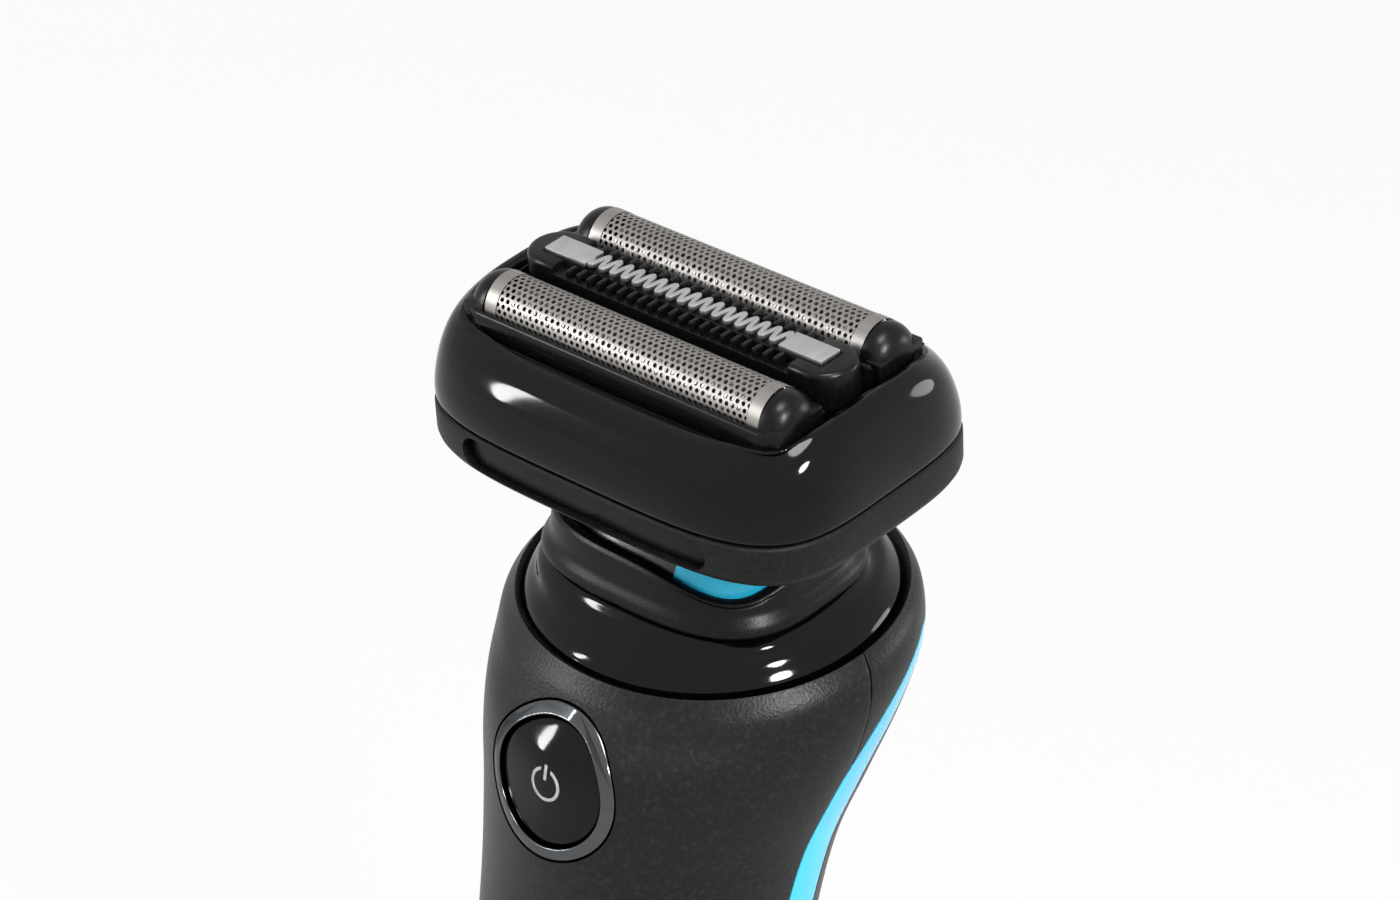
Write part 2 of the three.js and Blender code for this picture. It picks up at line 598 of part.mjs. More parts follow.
const STRIP_TOP = PIVOT_Z - 11;
const stripBox = (margin) =>
  box(80, STRIP_WIDTH + 2 * margin, STRIP_TOP + 2 * margin, 0, STRIP_Y, STRIP_TOP / 2);
const frontHalf = box(80, 60, 200, 0, STRIP_Y - FIT / 2 - 30, 90);
const rearHalf = box(80, 60, 200, 0, STRIP_Y + FIT / 2 + 30, 90);

const frontRod = (radius) => rodY(radius, 40, 0, faceY(BUTTON_Z) + 5, BUTTON_Z, 36);
const windowSlab = (margin) =>
  slab(stadium(WINDOW_HEIGHT / 2 + margin, WINDOW_HALF_WIDTH + margin), 30)
    .rotateY(Math.PI / 2)
    .rotateZ(-Math.PI / 2)
    .translate(0, 0, WINDOW_Z);

function collar() {
  const lowest = collarRing(-COLLAR_LIP + FIT, RIM_X, RIM_Y);
  const neckRing = (height, x, depth) => {
    const rise = along(height, HEAD_TILT);
    return { z: PIVOT_Z + rise.z, y: rise.y, x, front: depth, power: 2.7, lean: HEAD_TILT };
  };
  const outside = [
    lowest,
    collarRing(0, RIM_X, RIM_Y),
    collarRing(0.9, RIM_X - 0.5, RIM_Y - 0.5),
    collarRing(2.4, RIM_X - 2, RIM_Y - 2.6, 2.2),
    neckRing(COLLAR_TOP - 0.5, NECK_X + 1.4, NECK_Y + 0.8),
    neckRing(COLLAR_TOP, NECK_X + 0.9, NECK_Y + 0.3),
  ];
  const way = [neckRing(-12, NECK_X - 0.9, NECK_Y - 1), neckRing(COLLAR_TOP + 3, NECK_X - 0.9, NECK_Y - 1)];
  return cut(loft(outside), loft(way));
}

const CAP_HOLE_X = SOCKET_X + 2 * (SOCKET_WALL + FIT);
const CAP_HOLE_Y = SOCKET_Y + 2 * (SOCKET_WALL + FIT);
const SCREW_X = 12.4;
const SCREW_HEAD = 2.1;
const SCREW_SHANK = 1.1;
const SHELF_Z = 13;
const SHELF_THICK = 1.6;
const SPINE_Y = -4.4; // middle of the chassis spine
const SPINE_THICK = 2;
const SPINE_TOP = 103.5;

function baseCap() {
  const low = OUTER[0];
  const cap = loft([
    { ...low, z: 0, x: low.x - 2.2, front: low.front - 2.2, rear: low.rear - 2.2 },
    { ...low, z: 0.8, x: low.x - 1, front: low.front - 1, rear: low.rear - 1 },
    { ...low, z: 2.4, x: low.x - 0.3, front: low.front - 0.3, rear: low.rear - 0.3 },
    { ...low, z: BASE_HEIGHT },
  ]);
  const wells = [-1, 1].flatMap((side) => [
    post(SCREW_HEAD + FIT, 3.4, side * SCREW_X, 0, -1),
    post(SCREW_SHANK + FIT, 20, side * SCREW_X, 0, -1),
  ]);
  return cut(cap, box(CAP_HOLE_X, CAP_HOLE_Y, 30), ...wells);
}

function socket() {
  const height = SOCKET_DEPTH + 2.2;
  const block = box(SOCKET_X + 2 * SOCKET_WALL, SOCKET_Y + 2 * SOCKET_WALL, height, 0, 0, height / 2 + 0.3);
  const recess = box(SOCKET_X, SOCKET_Y, 2 * SOCKET_DEPTH);
  const holes = [-1, 1].map((side) => post(CONTACT_RADIUS + FIT, 20, (side * PIN_PITCH) / 2));
  return cut(block, recess, ...holes);
}

// Part of the grip's inside, kept clear of its wall.
const inside = (geometry) => common(geometry, loft(insideRoom(WALL + FIT)));

function chassis() {
  const spine = box(80, SPINE_THICK, SPINE_TOP - SHELF_Z, 0, SPINE_Y, (SPINE_TOP + SHELF_Z) / 2);
  const shelf = (z, thick) => box(80, 80, thick, 0, SPINE_Y - SPINE_THICK / 2 + 40, z + thick / 2);
  const lugZ = BASE_HEIGHT + 2 * FIT;
  const lugs = [-1, 1].map((side) => post(3, SHELF_Z + SHELF_THICK - lugZ, side * SCREW_X, 0, lugZ));
  const body = inside(join(
    spine,
    shelf(SHELF_Z, SHELF_THICK),
    shelf(BATTERY_Z + BATTERY_LENGTH + 3, 1.4),
    shelf(MOTOR_Z + MOTOR_LENGTH + FIT, 1),
    ...lugs,
  ));
  return cut(
    body,
    box(SOCKET_X + 8, 14, 4, 0, 2, SHELF_Z + 1),
    post(3.4, 20, 0, MOTOR_Y, MOTOR_Z + MOTOR_LENGTH - 5),
    post(4, 10, 0, BATTERY_Y, BATTERY_Z + BATTERY_LENGTH),
    ...[-1, 1].map((side) => post(SCREW_SHANK + FIT, 20, side * SCREW_X)),
  );
}

function motorShaft() {
  const start = MOTOR_Z + MOTOR_LENGTH + FIT;
  const eccentric = PIVOT_Z + ECCENTRIC_Z * Math.cos(HEAD_TILT) + 0.4;
  const hub = eccentric - 4.2;
  return join(
    post(1, hub - start + 0.5, 0, 0, start),
    post(2.6, 1.4, 0, 0, hub),
    post(ECCENTRIC_RADIUS, eccentric - hub - 0.5, 0, ECCENTRIC_OFFSET, hub + 0.5),
  );
}

function batteryTab(z) {
  return slab(stadiumBox(4, 3, 1), 0.5, z);
}

function buildGrip(parent) {
  const shell = gripShell();
  const belowButton = frontRod(BUTTON_RADIUS + BEZEL_WIDTH + 2 * FIT);
  const frontShell = cut(common(shell, frontHalf), stripBox(FIT), belowButton, windowSlab(FIT));
  piece(parent, "front_shell", frontShell, SATIN());
  piece(parent, "rear_shell", cut(common(shell, rearHalf), stripBox(FIT)), SATIN());
  const band = common(shell, stripBox(0));
  piece(parent, "side_strip_left", common(band, box(60, 60, 300, -30)), MINT());
  piece(parent, "side_strip_right", common(band, box(60, 60, 300, 30)), MINT());
  piece(parent, "collar", collar(), GLOSS());

  const ringRod = cut(frontRod(BUTTON_RADIUS + BEZEL_WIDTH + FIT), frontRod(BUTTON_RADIUS + FIT));
  piece(parent, "button_bezel", common(shell, ringRod), STEEL());
  const buttonFace = common(frontRod(BUTTON_RADIUS), loft(inset(OUTER, 0.7)));
  const switchFront = BOARD_Y - BOARD_THICK - FIT - 3.4;
  const button = join(
    cut(buttonFace, box(60, 60, 60, 0, faceY(BUTTON_Z) + 4.2 + 30, BUTTON_Z)),
    rodY(1.6, switchFront - BUTTON_TRAVEL - FIT - faceY(BUTTON_Z) - 3.6, 0,
      (switchFront - BUTTON_TRAVEL - FIT + faceY(BUTTON_Z) + 3.6) / 2, BUTTON_Z),
  );
  piece(parent, "power_button", button, GLOSS());
  piece(parent, "indicator_window", common(shell, windowSlab(0)), CLEAR());

  piece(parent, "base_cap", baseCap(), SATIN());
  piece(parent, "charging_socket", socket(), INNER());
  for (const [hand, side] of [["left", -1], ["right", 1]]) {
    const contact = post(CONTACT_RADIUS, 7, 0, 0, CONTACT_TIP);
    piece(parent, `contact_pin_${hand}`, contact, STEEL(), (side * PIN_PITCH) / 2);
    const screw = join(post(SCREW_HEAD, 1.5, 0, 0, 0.6), post(SCREW_SHANK, SHELF_Z, 0, 0, 1.2));
    piece(parent, `base_screw_${hand}`, screw, STEEL(), side * SCREW_X);
  }
  piece(parent, "chassis", chassis(), INNER());
  piece(parent, "battery_cell", post(BATTERY_RADIUS, BATTERY_LENGTH, 0, BATTERY_Y, BATTERY_Z, 28), MINT());
  piece(parent, "battery_tab_lower", batteryTab(BATTERY_Z - FIT - 0.5), STEEL(), 0, BATTERY_Y);
  piece(parent, "battery_tab_upper", batteryTab(BATTERY_Z + BATTERY_LENGTH + FIT), STEEL(), 0, BATTERY_Y);
  piece(parent, "motor", post(MOTOR_RADIUS, MOTOR_LENGTH, 0, MOTOR_Y, MOTOR_Z, 28), STEEL());
  piece(parent, "motor_shaft", motorShaft(), STEEL(), 0, MOTOR_Y);
  const boardLength = BUTTON_Z + 4 - BATTERY_Z;
  piece(parent, "circuit_board", box(20, BOARD_THICK, boardLength), BOARD(), 0,
    BOARD_Y - BOARD_THICK / 2, BATTERY_Z + boardLength / 2);
  piece(parent, "push_switch", box(6, 3.4, 6), INNER(), 0, BOARD_Y - BOARD_THICK - FIT - 1.7, BUTTON_Z);
  const guideFront = faceY(WINDOW_Z) + WALL + FIT + 0.6;
  const guideRear = BOARD_Y - BOARD_THICK - FIT;
  piece(parent, "light_guide", box(5, guideRear - guideFront, WINDOW_HEIGHT - 4), CLEAR(), 0,
    (guideRear + guideFront) / 2, WINDOW_Z);
}

const shaver = new THREE.Group();
buildGrip(shaver);
const neck = new THREE.Group();
neck.position.z = PIVOT_Z;
neck.rotation.x = HEAD_TILT;
shaver.add(neck);
buildNeck(neck);
const head = new THREE.Group();
neck.add(head);
buildHead(head);

// The origin lies under the middle of the whole part.
const extent = new THREE.Box3().setFromObject(shaver, true);
shaver.position.y = -(extent.min.y + extent.max.y) / 2;

export default shaver;
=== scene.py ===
# %% [markdown]
# # Electric shaver: a lesson in cells
# The shaver has a tilting head with two perforated foils and a trimmer, a short neck, and a waisted grip.
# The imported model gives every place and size, so we load it first and never move it.

# %% Load the frame
import json
import math
from contextlib import contextmanager

import bmesh
import bpy
from mathutils import Matrix, Vector


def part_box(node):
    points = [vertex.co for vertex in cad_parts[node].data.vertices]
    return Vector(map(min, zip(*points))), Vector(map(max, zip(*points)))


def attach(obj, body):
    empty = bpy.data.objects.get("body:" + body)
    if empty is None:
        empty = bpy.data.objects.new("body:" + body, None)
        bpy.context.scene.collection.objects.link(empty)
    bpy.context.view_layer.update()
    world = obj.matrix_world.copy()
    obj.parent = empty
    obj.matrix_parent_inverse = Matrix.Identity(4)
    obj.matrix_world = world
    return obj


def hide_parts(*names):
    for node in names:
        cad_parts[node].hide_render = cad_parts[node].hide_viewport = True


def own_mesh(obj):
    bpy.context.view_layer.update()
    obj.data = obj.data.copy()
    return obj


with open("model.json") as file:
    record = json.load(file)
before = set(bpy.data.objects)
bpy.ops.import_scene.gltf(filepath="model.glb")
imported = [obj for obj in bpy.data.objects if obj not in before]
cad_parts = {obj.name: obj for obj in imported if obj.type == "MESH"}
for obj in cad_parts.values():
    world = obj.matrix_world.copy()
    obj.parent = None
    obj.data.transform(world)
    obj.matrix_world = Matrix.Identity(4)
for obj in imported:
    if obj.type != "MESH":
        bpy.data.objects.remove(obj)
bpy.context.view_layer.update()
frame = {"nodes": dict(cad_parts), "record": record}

MM = 0.001
JOINTS = {joint["name"]: joint for joint in frame["record"]["behaviour"]["joints"]}
PIVOT = Vector(JOINTS["head_tilt"]["pos_m"])
HEAD_UP = Vector(JOINTS["cassette_lift"]["axis"]).normalized()
HEAD_LEAN = math.atan2(-HEAD_UP.y, HEAD_UP.z)
HEAD_FRAME = Matrix.Translation(PIVOT) @ Matrix.Rotation(HEAD_LEAN, 4, "X")
print("head leans", round(math.degrees(HEAD_LEAN), 1), "degrees about", tuple(PIVOT))

# %% [markdown]
# ## The camera
# A long lens from the front right, a little above the foils. The view is built from an azimuth, an elevation
# and a roll, because those three words are easier to reason about than a matrix.

# %% Camera
AZIMUTH, ELEVATION, ROLL = (math.radians(a) for a in (37.6, 21.3, 8.25))
DISTANCE = 500 * MM
LENS = 109.8
AIM_LEFT, AIM_UP = 0.5 * MM, 11.7 * MM


def linked(name, data):
    item = bpy.data.objects.new(name, data)
    bpy.context.scene.collection.objects.link(item)
    return item


def make_camera():
    level_right = Vector((math.cos(AZIMUTH), math.sin(AZIMUTH), 0))
    back = Vector((math.sin(AZIMUTH) * math.cos(ELEVATION), -math.cos(AZIMUTH) * math.cos(ELEVATION),
                   math.sin(ELEVATION)))
    level_up = back.cross(level_right)
    right = level_right * math.cos(ROLL) + level_up * math.sin(ROLL)
    up = back.cross(right)
    aim = PIVOT - right * AIM_LEFT + up * AIM_UP
    data = bpy.data.cameras.new("camera")
    data.lens = LENS
    data.clip_start = 0.01
    camera = linked("camera", data)
    place = Matrix((right, up, back)).transposed().to_4x4()
    place.translation = aim + back * DISTANCE
    camera.matrix_world = place
    bpy.context.scene.camera = camera
    return camera


print("camera at", tuple(round(v, 3) for v in make_camera().matrix_world.translation))

# %% [markdown]
# ## Finishes
# Every finish is a small node tree on Object coordinates. Moulded plastic is never one even value: the satin
# parts carry a fine spark-eroded grain and painted pale glints, the gloss parts a faint waviness, and the
# steel a drawn grain.

# %% A base for all finishes
def new_finish(name, colour, roughness, metallic=0.0, coat=0.0):
    material = bpy.data.materials.new(name)
    material.use_nodes = True
    shader = material.node_tree.nodes["Principled BSDF"]
    for entry, value in (("Base Color", (*colour, 1)), ("Roughness", roughness), ("Metallic", metallic),
                         ("Coat Weight", coat), ("Coat Roughness", 0.06)):
        shader.inputs[entry].default_value = value
    return material, material.node_tree, shader


def pattern(tree, kind, scale, stretch=(1, 1, 1)):
    coordinates = tree.nodes.new("ShaderNodeTexCoord")
    mapping = tree.nodes.new("ShaderNodeMapping")
    mapping.inputs["Scale"].default_value = stretch
    texture = tree.nodes.new(kind)
    texture.inputs["Scale"].default_value = scale
    tree.links.new(coordinates.outputs["Object"], mapping.inputs["Vector"])
    tree.links.new(mapping.outputs["Vector"], texture.inputs["Vector"])
    return texture


def ramp(tree, source, low, high, start=0.3, end=0.7):
    node = tree.nodes.new("ShaderNodeValToRGB")
    for stop, position, colour in zip(node.color_ramp.elements, (start, end), (low, high)):
        stop.position, stop.color = position, (*colour, 1)
    tree.links.new(source, node.inputs["Fac"])
    return node.outputs["Color"]


def maths(tree, operation, *values):
    """A Math node fed by sockets and plain numbers."""
    node = tree.nodes.new("ShaderNodeMath")
    node.operation = operation
    for entry, value in zip(node.inputs, values):
        if isinstance(value, float):
            entry.default_value = value
        else:
            tree.links.new(value, entry)
    return node.outputs["Value"]


def bump(tree, shader, source, distance, strength=1.0):
    node = tree.nodes.new("ShaderNodeBump")
    node.inputs["Strength"].default_value = strength
    node.inputs["Distance"].default_value = distance
    tree.links.new(source, node.inputs["Height"])
    tree.links.new(node.outputs["Normal"], shader.inputs["Normal"])


def vary_roughness(tree, shader, source, low, high):
    node = tree.nodes.new("ShaderNodeMapRange")
    node.inputs["To Min"].default_value = low
    node.inputs["To Max"].default_value = high
    tree.links.new(source, node.inputs["Value"])
    tree.links.new(node.outputs["Result"], shader.inputs["Roughness"])


# %% [markdown]
# Satin black: the mould was spark-eroded, so the surface is a field of tiny pits. Voronoi cells give the pits
# as bumps, and a noise changes their tone a little: pale glints painted into the colour, a painted highlight.

# %% Satin and gloss plastics
def satin_finish(name, colour, painted_glint, grain=2600, depth=0.05 * MM, roughness=(0.42, 0.62),
                 shine=0.18):
    material, tree, shader = new_finish(name, colour, 0.5)
    shader.inputs["Specular IOR Level"].default_value = shine
    pits = pattern(tree, "ShaderNodeTexVoronoi", grain)
    soft = pattern(tree, "ShaderNodeTexNoise", grain * 0.6)
    # The noise paints pale glints into the base colour: a painted highlight, not a colour of the plastic.
    tree.links.new(ramp(tree, soft.outputs["Fac"], colour, painted_glint, 0.5, 0.78), shader.inputs["Base Color"])
    vary_roughness(tree, shader, soft.outputs["Fac"], *roughness)
    bump(tree, shader, pits.outputs["Distance"], depth, 0.5)
    return material


def gloss_finish(name, colour, roughness=(0.07, 0.13), coat=0.6):
    material, tree, shader = new_finish(name, colour, roughness[0], coat=coat)
    shader.inputs["Specular IOR Level"].default_value = 0.2
    haze = pattern(tree, "ShaderNodeTexNoise", 90)
    haze.inputs["Detail"].default_value = 6
    vary_roughness(tree, shader, haze.outputs["Fac"], *roughness)
    wave = pattern(tree, "ShaderNodeTexNoise", 60)
    bump(tree, shader, wave.outputs["Fac"], 0.01 * MM, 0.25)
    low = tuple(0.9 * c for c in colour)
    high = tuple(min(1, 1.12 * c) for c in colour)
    tree.links.new(ramp(tree, haze.outputs["Fac"], low, high), shader.inputs["Base Color"])
    return material


def steel_finish(name, colour, roughness=(0.2, 0.34), stretch=(60, 900, 900)):
    material, tree, shader = new_finish(name, colour, roughness[0], metallic=1.0)
    drawn = pattern(tree, "ShaderNodeTexNoise", 1, stretch)
    drawn.inputs["Detail"].default_value = 4
    vary_roughness(tree, shader, drawn.outputs["Fac"], *roughness)
    low = tuple(0.86 * c for c in colour)
    tree.links.new(ramp(tree, drawn.outputs["Fac"], low, colour), shader.inputs["Base Color"])
    bump(tree, shader, drawn.outputs["Fac"], 0.006 * MM, 0.3)
    return material


MINT_COLOUR = (0.025, 0.53, 0.80)
SATIN_GRIP = satin_finish("grip_satin_black", (0.003, 0.0033, 0.0038), (0.013, 0.0135, 0.015),
                          roughness=(0.34, 0.46), shine=0.24)
SATIN_HEAD = satin_finish("head_satin_black", (0.003, 0.0032, 0.0036), (0.011, 0.0115, 0.013), grain=3400)
SATIN_NECK = satin_finish("neck_satin_black", (0.002, 0.002, 0.0022), (0.005, 0.0052, 0.006), 3000,
                          0.02 * MM, (0.3, 0.4))
GLOSS_BLACK = gloss_finish("gloss_black", (0.001, 0.0011, 0.0012), (0.05, 0.09), 0.0)
SOFT_BLACK = satin_finish("soft_black", (0.002, 0.0021, 0.0023), (0.005, 0.0052, 0.0055), 3000,
                          0.01 * MM, (0.26, 0.36))
MINT = gloss_finish("mint_gloss", MINT_COLOUR, (0.16, 0.24), 0.4)
FOIL_STEEL = steel_finish("foil_steel", (0.28, 0.265, 0.25), (0.38, 0.5))
BLADE_STEEL = steel_finish("blade_steel", (0.46, 0.46, 0.47), (0.36, 0.46), (900, 60, 900))
PLAIN_STEEL = steel_finish("plain_steel", (0.6, 0.6, 0.62), (0.25, 0.4))
# Darkened steel for the trimmer cutter: painted shade for the gaps under the winding strip.
STEEL_PAINTED_SHADE = steel_finish("steel_painted_shade", (0.09, 0.09, 0.095), (0.25, 0.4))
RIM_STEEL = steel_finish("button_rim", (0.10, 0.105, 0.11), (0.12, 0.2))
MARK_GREY = satin_finish("printed_grey", (0.35, 0.36, 0.37), (0.42, 0.43, 0.44), 900, 0.01 * MM, (0.4, 0.5))
MOULDED = satin_finish("moulded_inner", (0.03, 0.03, 0.033), (0.06, 0.06, 0.065), 1200,
                       0.03 * MM, (0.45, 0.6))
RUBBER = satin_finish("seal_rubber", (0.01, 0.01, 0.01), (0.02, 0.02, 0.02), 1500, 0.02 * MM, (0.7, 0.85))
SOLDER_MASK = satin_finish("solder_mask", (0.015, 0.11, 0.045), (0.02, 0.16, 0.06), 500,
                           0.02 * MM, (0.3, 0.45))
SLEEVE = gloss_finish("cell_sleeve", (0.03, 0.14, 0.3), (0.25, 0.35), 0.2)
CLEAR = gloss_finish("smoked_window", (0.03, 0.035, 0.04), (0.08, 0.14), 0.8)
print(len(bpy.data.materials), "finishes")

# %% [markdown]
# ## Modelling helpers
# Most outer shapes are skins drawn up through outlines: squarish ovals that grow, shrink and lean. Each one
# starts from a circle, whose edge is extruded once for every outline and the new ring settled in place.

# %% Outlines and the flow between them
SIDES = 144


def oval(section, count=SIDES):
    z, y, half_x, front, rear, power, front_power, lean = section
    points = []
    for i in range(count):
        c, s = math.cos(2 * math.pi * i / count), math.sin(2 * math.pi * i / count)
        n = front_power if s < 0 else power
        depth = front if s < 0 else rear
        point = Vector((half_x * math.copysign(abs(c) ** (2 / n), c),
                        depth * math.copysign(abs(s) ** (2 / n), s), 0))
        point.rotate(Matrix.Rotation(lean, 3, "X"))
        points.append((point + Vector((0, y, z))) * MM)
    return points


def level(z, half_x, depth, square):
    """An outline that doesn't lean, centred on the axis and as deep in front as behind."""
    return (z, 0, half_x, depth, depth, square, square, 0)


def flow(sections, steps=5):
    """Catmull-Rom blend between listed sections, so that the skin has no creases at them."""
    full = [sections[0], *sections, sections[-1]]
    result = []
    for a, b, c, d in zip(full, full[1:], full[2:], full[3:]):
        for k in range(steps):
            t = k / steps
            result.append(tuple(
                0.5 * (2 * q + (r - p) * t + (2 * p - 5 * q + 4 * r - s) * t * t
                       + (3 * q - p - 3 * r + s) * t ** 3) for p, q, r, s in zip(a, b, c, d)))
    return [*result, sections[-1]]


# %% Edit-mode helpers
def deselect():
    bpy.ops.object.select_all(action="DESELECT")


def activate(piece):
    deselect()
    piece.select_set(True)
    bpy.context.view_layer.objects.active = piece
    return piece


def named(name):
    piece = bpy.context.object
    piece.name = piece.data.name = name
    return piece


def primitive(kind, name, **options):
    deselect()
    getattr(bpy.ops.mesh, f"primitive_{kind}_add")(**options)
    return named(name)


def settle(piece):
    """Leave the finished piece's object at the origin, with its place in its mesh."""
    activate(piece)
    bpy.ops.object.transform_apply(location=True, rotation=True, scale=True)
    return piece


def apply_modifiers(piece):
    activate(piece)
    for modifier in list(piece.modifiers):
        bpy.ops.object.modifier_apply(modifier=modifier.name)
    return piece


@contextmanager
def points_of(piece):
    mesh = bmesh.from_edit_mesh(piece.data)
    yield mesh
    bmesh.update_edit_mesh(piece.data)


@contextmanager
def editing(piece, select="SELECT"):
    """Edit mode on one piece, with all of it selected or none of it."""
    activate(piece)
    bpy.ops.object.mode_set(mode="EDIT")
    bpy.ops.mesh.select_all(action=select)
    yield
    bpy.ops.object.mode_set(mode="OBJECT")


def select_faces(piece, test):
    with points_of(piece) as mesh:
        for face in mesh.faces:
            face.select = test(face.normal)


def outward(piece):
    with editing(piece):
        bpy.ops.mesh.remove_doubles(threshold=1e-6)
        bpy.ops.mesh.normals_make_consistent(inside=False)
    return piece


def bevel(piece, width, segments=3, angle=35):
    modifier = piece.modifiers.new("bevel", "BEVEL")
    modifier.width = width * MM
    modifier.segments = segments
    modifier.limit_method = "ANGLE"
    modifier.angle_limit = math.radians(angle)
    return apply_modifiers(piece)


def boolean(piece, tool, operation="DIFFERENCE"):
    modifier = piece.modifiers.new("cut", "BOOLEAN")
    modifier.operation = operation
    modifier.object = tool
    modifier.solver = "EXACT"
    apply_modifiers(piece)
    bpy.data.objects.remove(tool)
    return piece


def walled(piece, wall=1.6):
    """Give an open sheet its thickness, inwards."""
    modifier = piece.modifiers.new("wall", "SOLIDIFY")
    modifier.thickness = wall * MM
    modifier.offset = -1
    return apply_modifiers(piece)


def repeated(piece, count, step, merge=False):
    array = piece.modifiers.new("repeat", "ARRAY")
    array.use_relative_offset = False
    array.use_constant_offset = True
    array.constant_offset_displace = [v * MM for v in step]
    array.count = count
    array.use_merge_vertices = merge
    array.merge_threshold = 1e-6
    return apply_modifiers(piece)


# %% Plain blocks, in millimetres
def placed(piece, place, rotation=(0, 0, 0)):
    piece.location = [v * MM for v in place]
    piece.rotation_euler = rotation
    return settle(piece)


def block(name, low, high):
    """A box between two corners: the start of many small mouldings."""
    piece = primitive("cube", name, size=1)
    piece.scale = [(b - a) * MM for a, b in zip(low, high)]
    return placed(piece, [(a + b) / 2 for a, b in zip(low, high)])


def cylinder(name, radius, depth, place, vertices=48, rotation=(0, 0, 0)):
    bar = primitive("cylinder", name, vertices=vertices, radius=radius * MM, depth=depth * MM)
    return placed(bar, place, rotation)


def joined(name, pieces):
    deselect()
    for part in pieces:
        part.select_set(True)
    bpy.context.view_layer.objects.active = pieces[0]
    bpy.ops.object.join()
    return named(name)


def box_of(name):
    """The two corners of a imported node's box."""
    return [[v / MM for v in corner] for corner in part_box(name)]


# %% Finishing a piece
def finish_piece(piece, material, body, slot, *nodes, angle=32):
    """Give a piece its finish, let it ride on its body, and retire the CAD nodes that it stands for."""
    activate(piece)
    bpy.ops.object.shade_smooth_by_angle(angle=math.radians(angle))
    piece.data.materials.clear()
    piece.data.materials.append(material)
    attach(piece, body)
    if nodes:
        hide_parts(*nodes)
    print(f"{piece.name}: {len(piece.data.polygons)} faces on {body}")
    return piece


def in_head(piece):
    """Pieces of head and neck are modelled upright about the tilt axis, then leant with the head."""
    settle(piece)
    piece.data.transform(HEAD_FRAME)
    return piece


# %% Skins drawn through outlines
def place_ring(mesh, old, new):
    where = {tuple(round(v, 7) for v in a): b for a, b in zip(old, new)}
    for vertex in mesh.verts:
        if vertex.select:
            vertex.co = where[tuple(round(v, 7) for v in vertex.co)]


def skin(name, sections, count=SIDES, close=True):
    """Draw a skin up through the sections, closed by end faces or left open."""
    piece = primitive("circle", name, vertices=count, radius=1)
    rings = [oval(section, count) for section in sections]
    data = [vertex.co.copy() for vertex in piece.data.vertices]
    start = sorted(range(count), key=lambda i: math.atan2(data[i].y, data[i].x) % (2 * math.pi - 1e-6))
    for rank, i in enumerate(start):
        piece.data.vertices[i].co = rings[0][rank]
    with editing(piece):
        if close:
            bpy.ops.mesh.edge_face_add()
            bpy.ops.mesh.select_mode(type="VERT")
        for old, new in zip(rings, rings[1:]):
            bpy.ops.mesh.extrude_edges_move()
            with points_of(piece) as mesh:
                place_ring(mesh, old, new)
        if close:
            bpy.ops.mesh.edge_face_add()
    return outward(piece)


def ring_skin(name, sections):
    """A moulding with a way through it: up the outside, down the inside and back to the start."""
    return skin(name, [*sections, sections[0]], close=False)

# %% [markdown]
# ## Cassette frame
# The glossy frame round the blades is one moulding: a side that leans in, a soft shoulder, and a rounded edge
# that dips into the opening. We draw it as a loop of outlines, up the outside and down the inside.

# %% Sizes shared by the head
SEAM = 20.0
HEAD_X, HEAD_Y, SQUARE = 29.3, 20.5, 4.1
OPENING_X, OPENING_Y, OPENING_SQUARE = 24.1, 13.6, 13
FOIL_SPACING, FOIL_LENGTH, FOIL_RADIUS = 17.4, 41.0, 3.7
CREST = SEAM + 14.9
ROWS = {"front": -FOIL_SPACING / 2, "rear": FOIL_SPACING / 2}


def head_section(z, inset):
    return level(z, HEAD_X - inset, HEAD_Y - inset, SQUARE)


# %% Cassette frame
FRAME_PROFILE = [(0.3, 0.6), (0.7, 0.15), (2.5, 0.25), (4.5, 0.75), (6.2, 1.45), (7.5, 2.35), (8.5, 3.5),
                 (9.2, 4.6), (9.4, 5.4)]
LIP_PROFILE = [(9.0, 0.5), (8.2, 0.1), (1.6, 0), (0.3, 0)]
END_SHARE = 0.7
ARCH_FOOT, ARCH_SHOULDER, ARCH_REACH, ARCH_HEIGHT = SEAM + 1, SEAM + 9.2, 27, 2.7


def arch_ends(piece):
    """Raise the two end walls in an arch that is highest at mid depth."""
    for vertex in piece.data.vertices:
        x, y, z = vertex.co / MM
        share = max(0, min(1, (z - ARCH_FOOT) / (ARCH_SHOULDER - ARCH_FOOT)))
        near_end = min(1, abs(x) / ARCH_REACH) ** 4
        vertex.co.z += ARCH_HEIGHT * share * near_end * (1 - min(1, abs(y) / HEAD_Y) ** 2) * MM
    return piece


def make_cassette_frame():
    sides = [level(SEAM + z, HEAD_X - END_SHARE * inset, HEAD_Y - inset, SQUARE)
             for z, inset in FRAME_PROFILE]
    lip = [level(SEAM + z, OPENING_X + grow, OPENING_Y + grow, OPENING_SQUARE) for z, grow in LIP_PROFILE]
    piece = ring_skin("cassette_frame_shell", [*flow(sides, 6), *flow([sides[-1], *lip], 6)[1:]])
    return finish_piece(in_head(arch_ends(piece)), GLOSS_BLACK, "cassette", "gloss_black", "cassette_frame")


make_cassette_frame()


# %% Floor of the cassette
FLOOR_X, FLOOR_Y, FLOOR_LOW, FLOOR_HIGH = 23.3, 13.2, SEAM + 0.55, SEAM + 1.45
SLOT_X, SLOT_Y = 17, 2.3


def make_cassette_floor():
    piece = block("cassette_floor", (-FLOOR_X, -FLOOR_Y, FLOOR_LOW), (FLOOR_X, FLOOR_Y, FLOOR_HIGH))
    for y in (ROWS["front"], 0, ROWS["rear"]):
        boolean(piece, block("slot", (-SLOT_X, y - SLOT_Y, SEAM - 1), (SLOT_X, y + SLOT_Y, SEAM + 3)))
    bevel(piece, 0.2, 2)
    return finish_piece(in_head(piece), MOULDED, "cassette", "gloss_black")


make_cassette_floor()

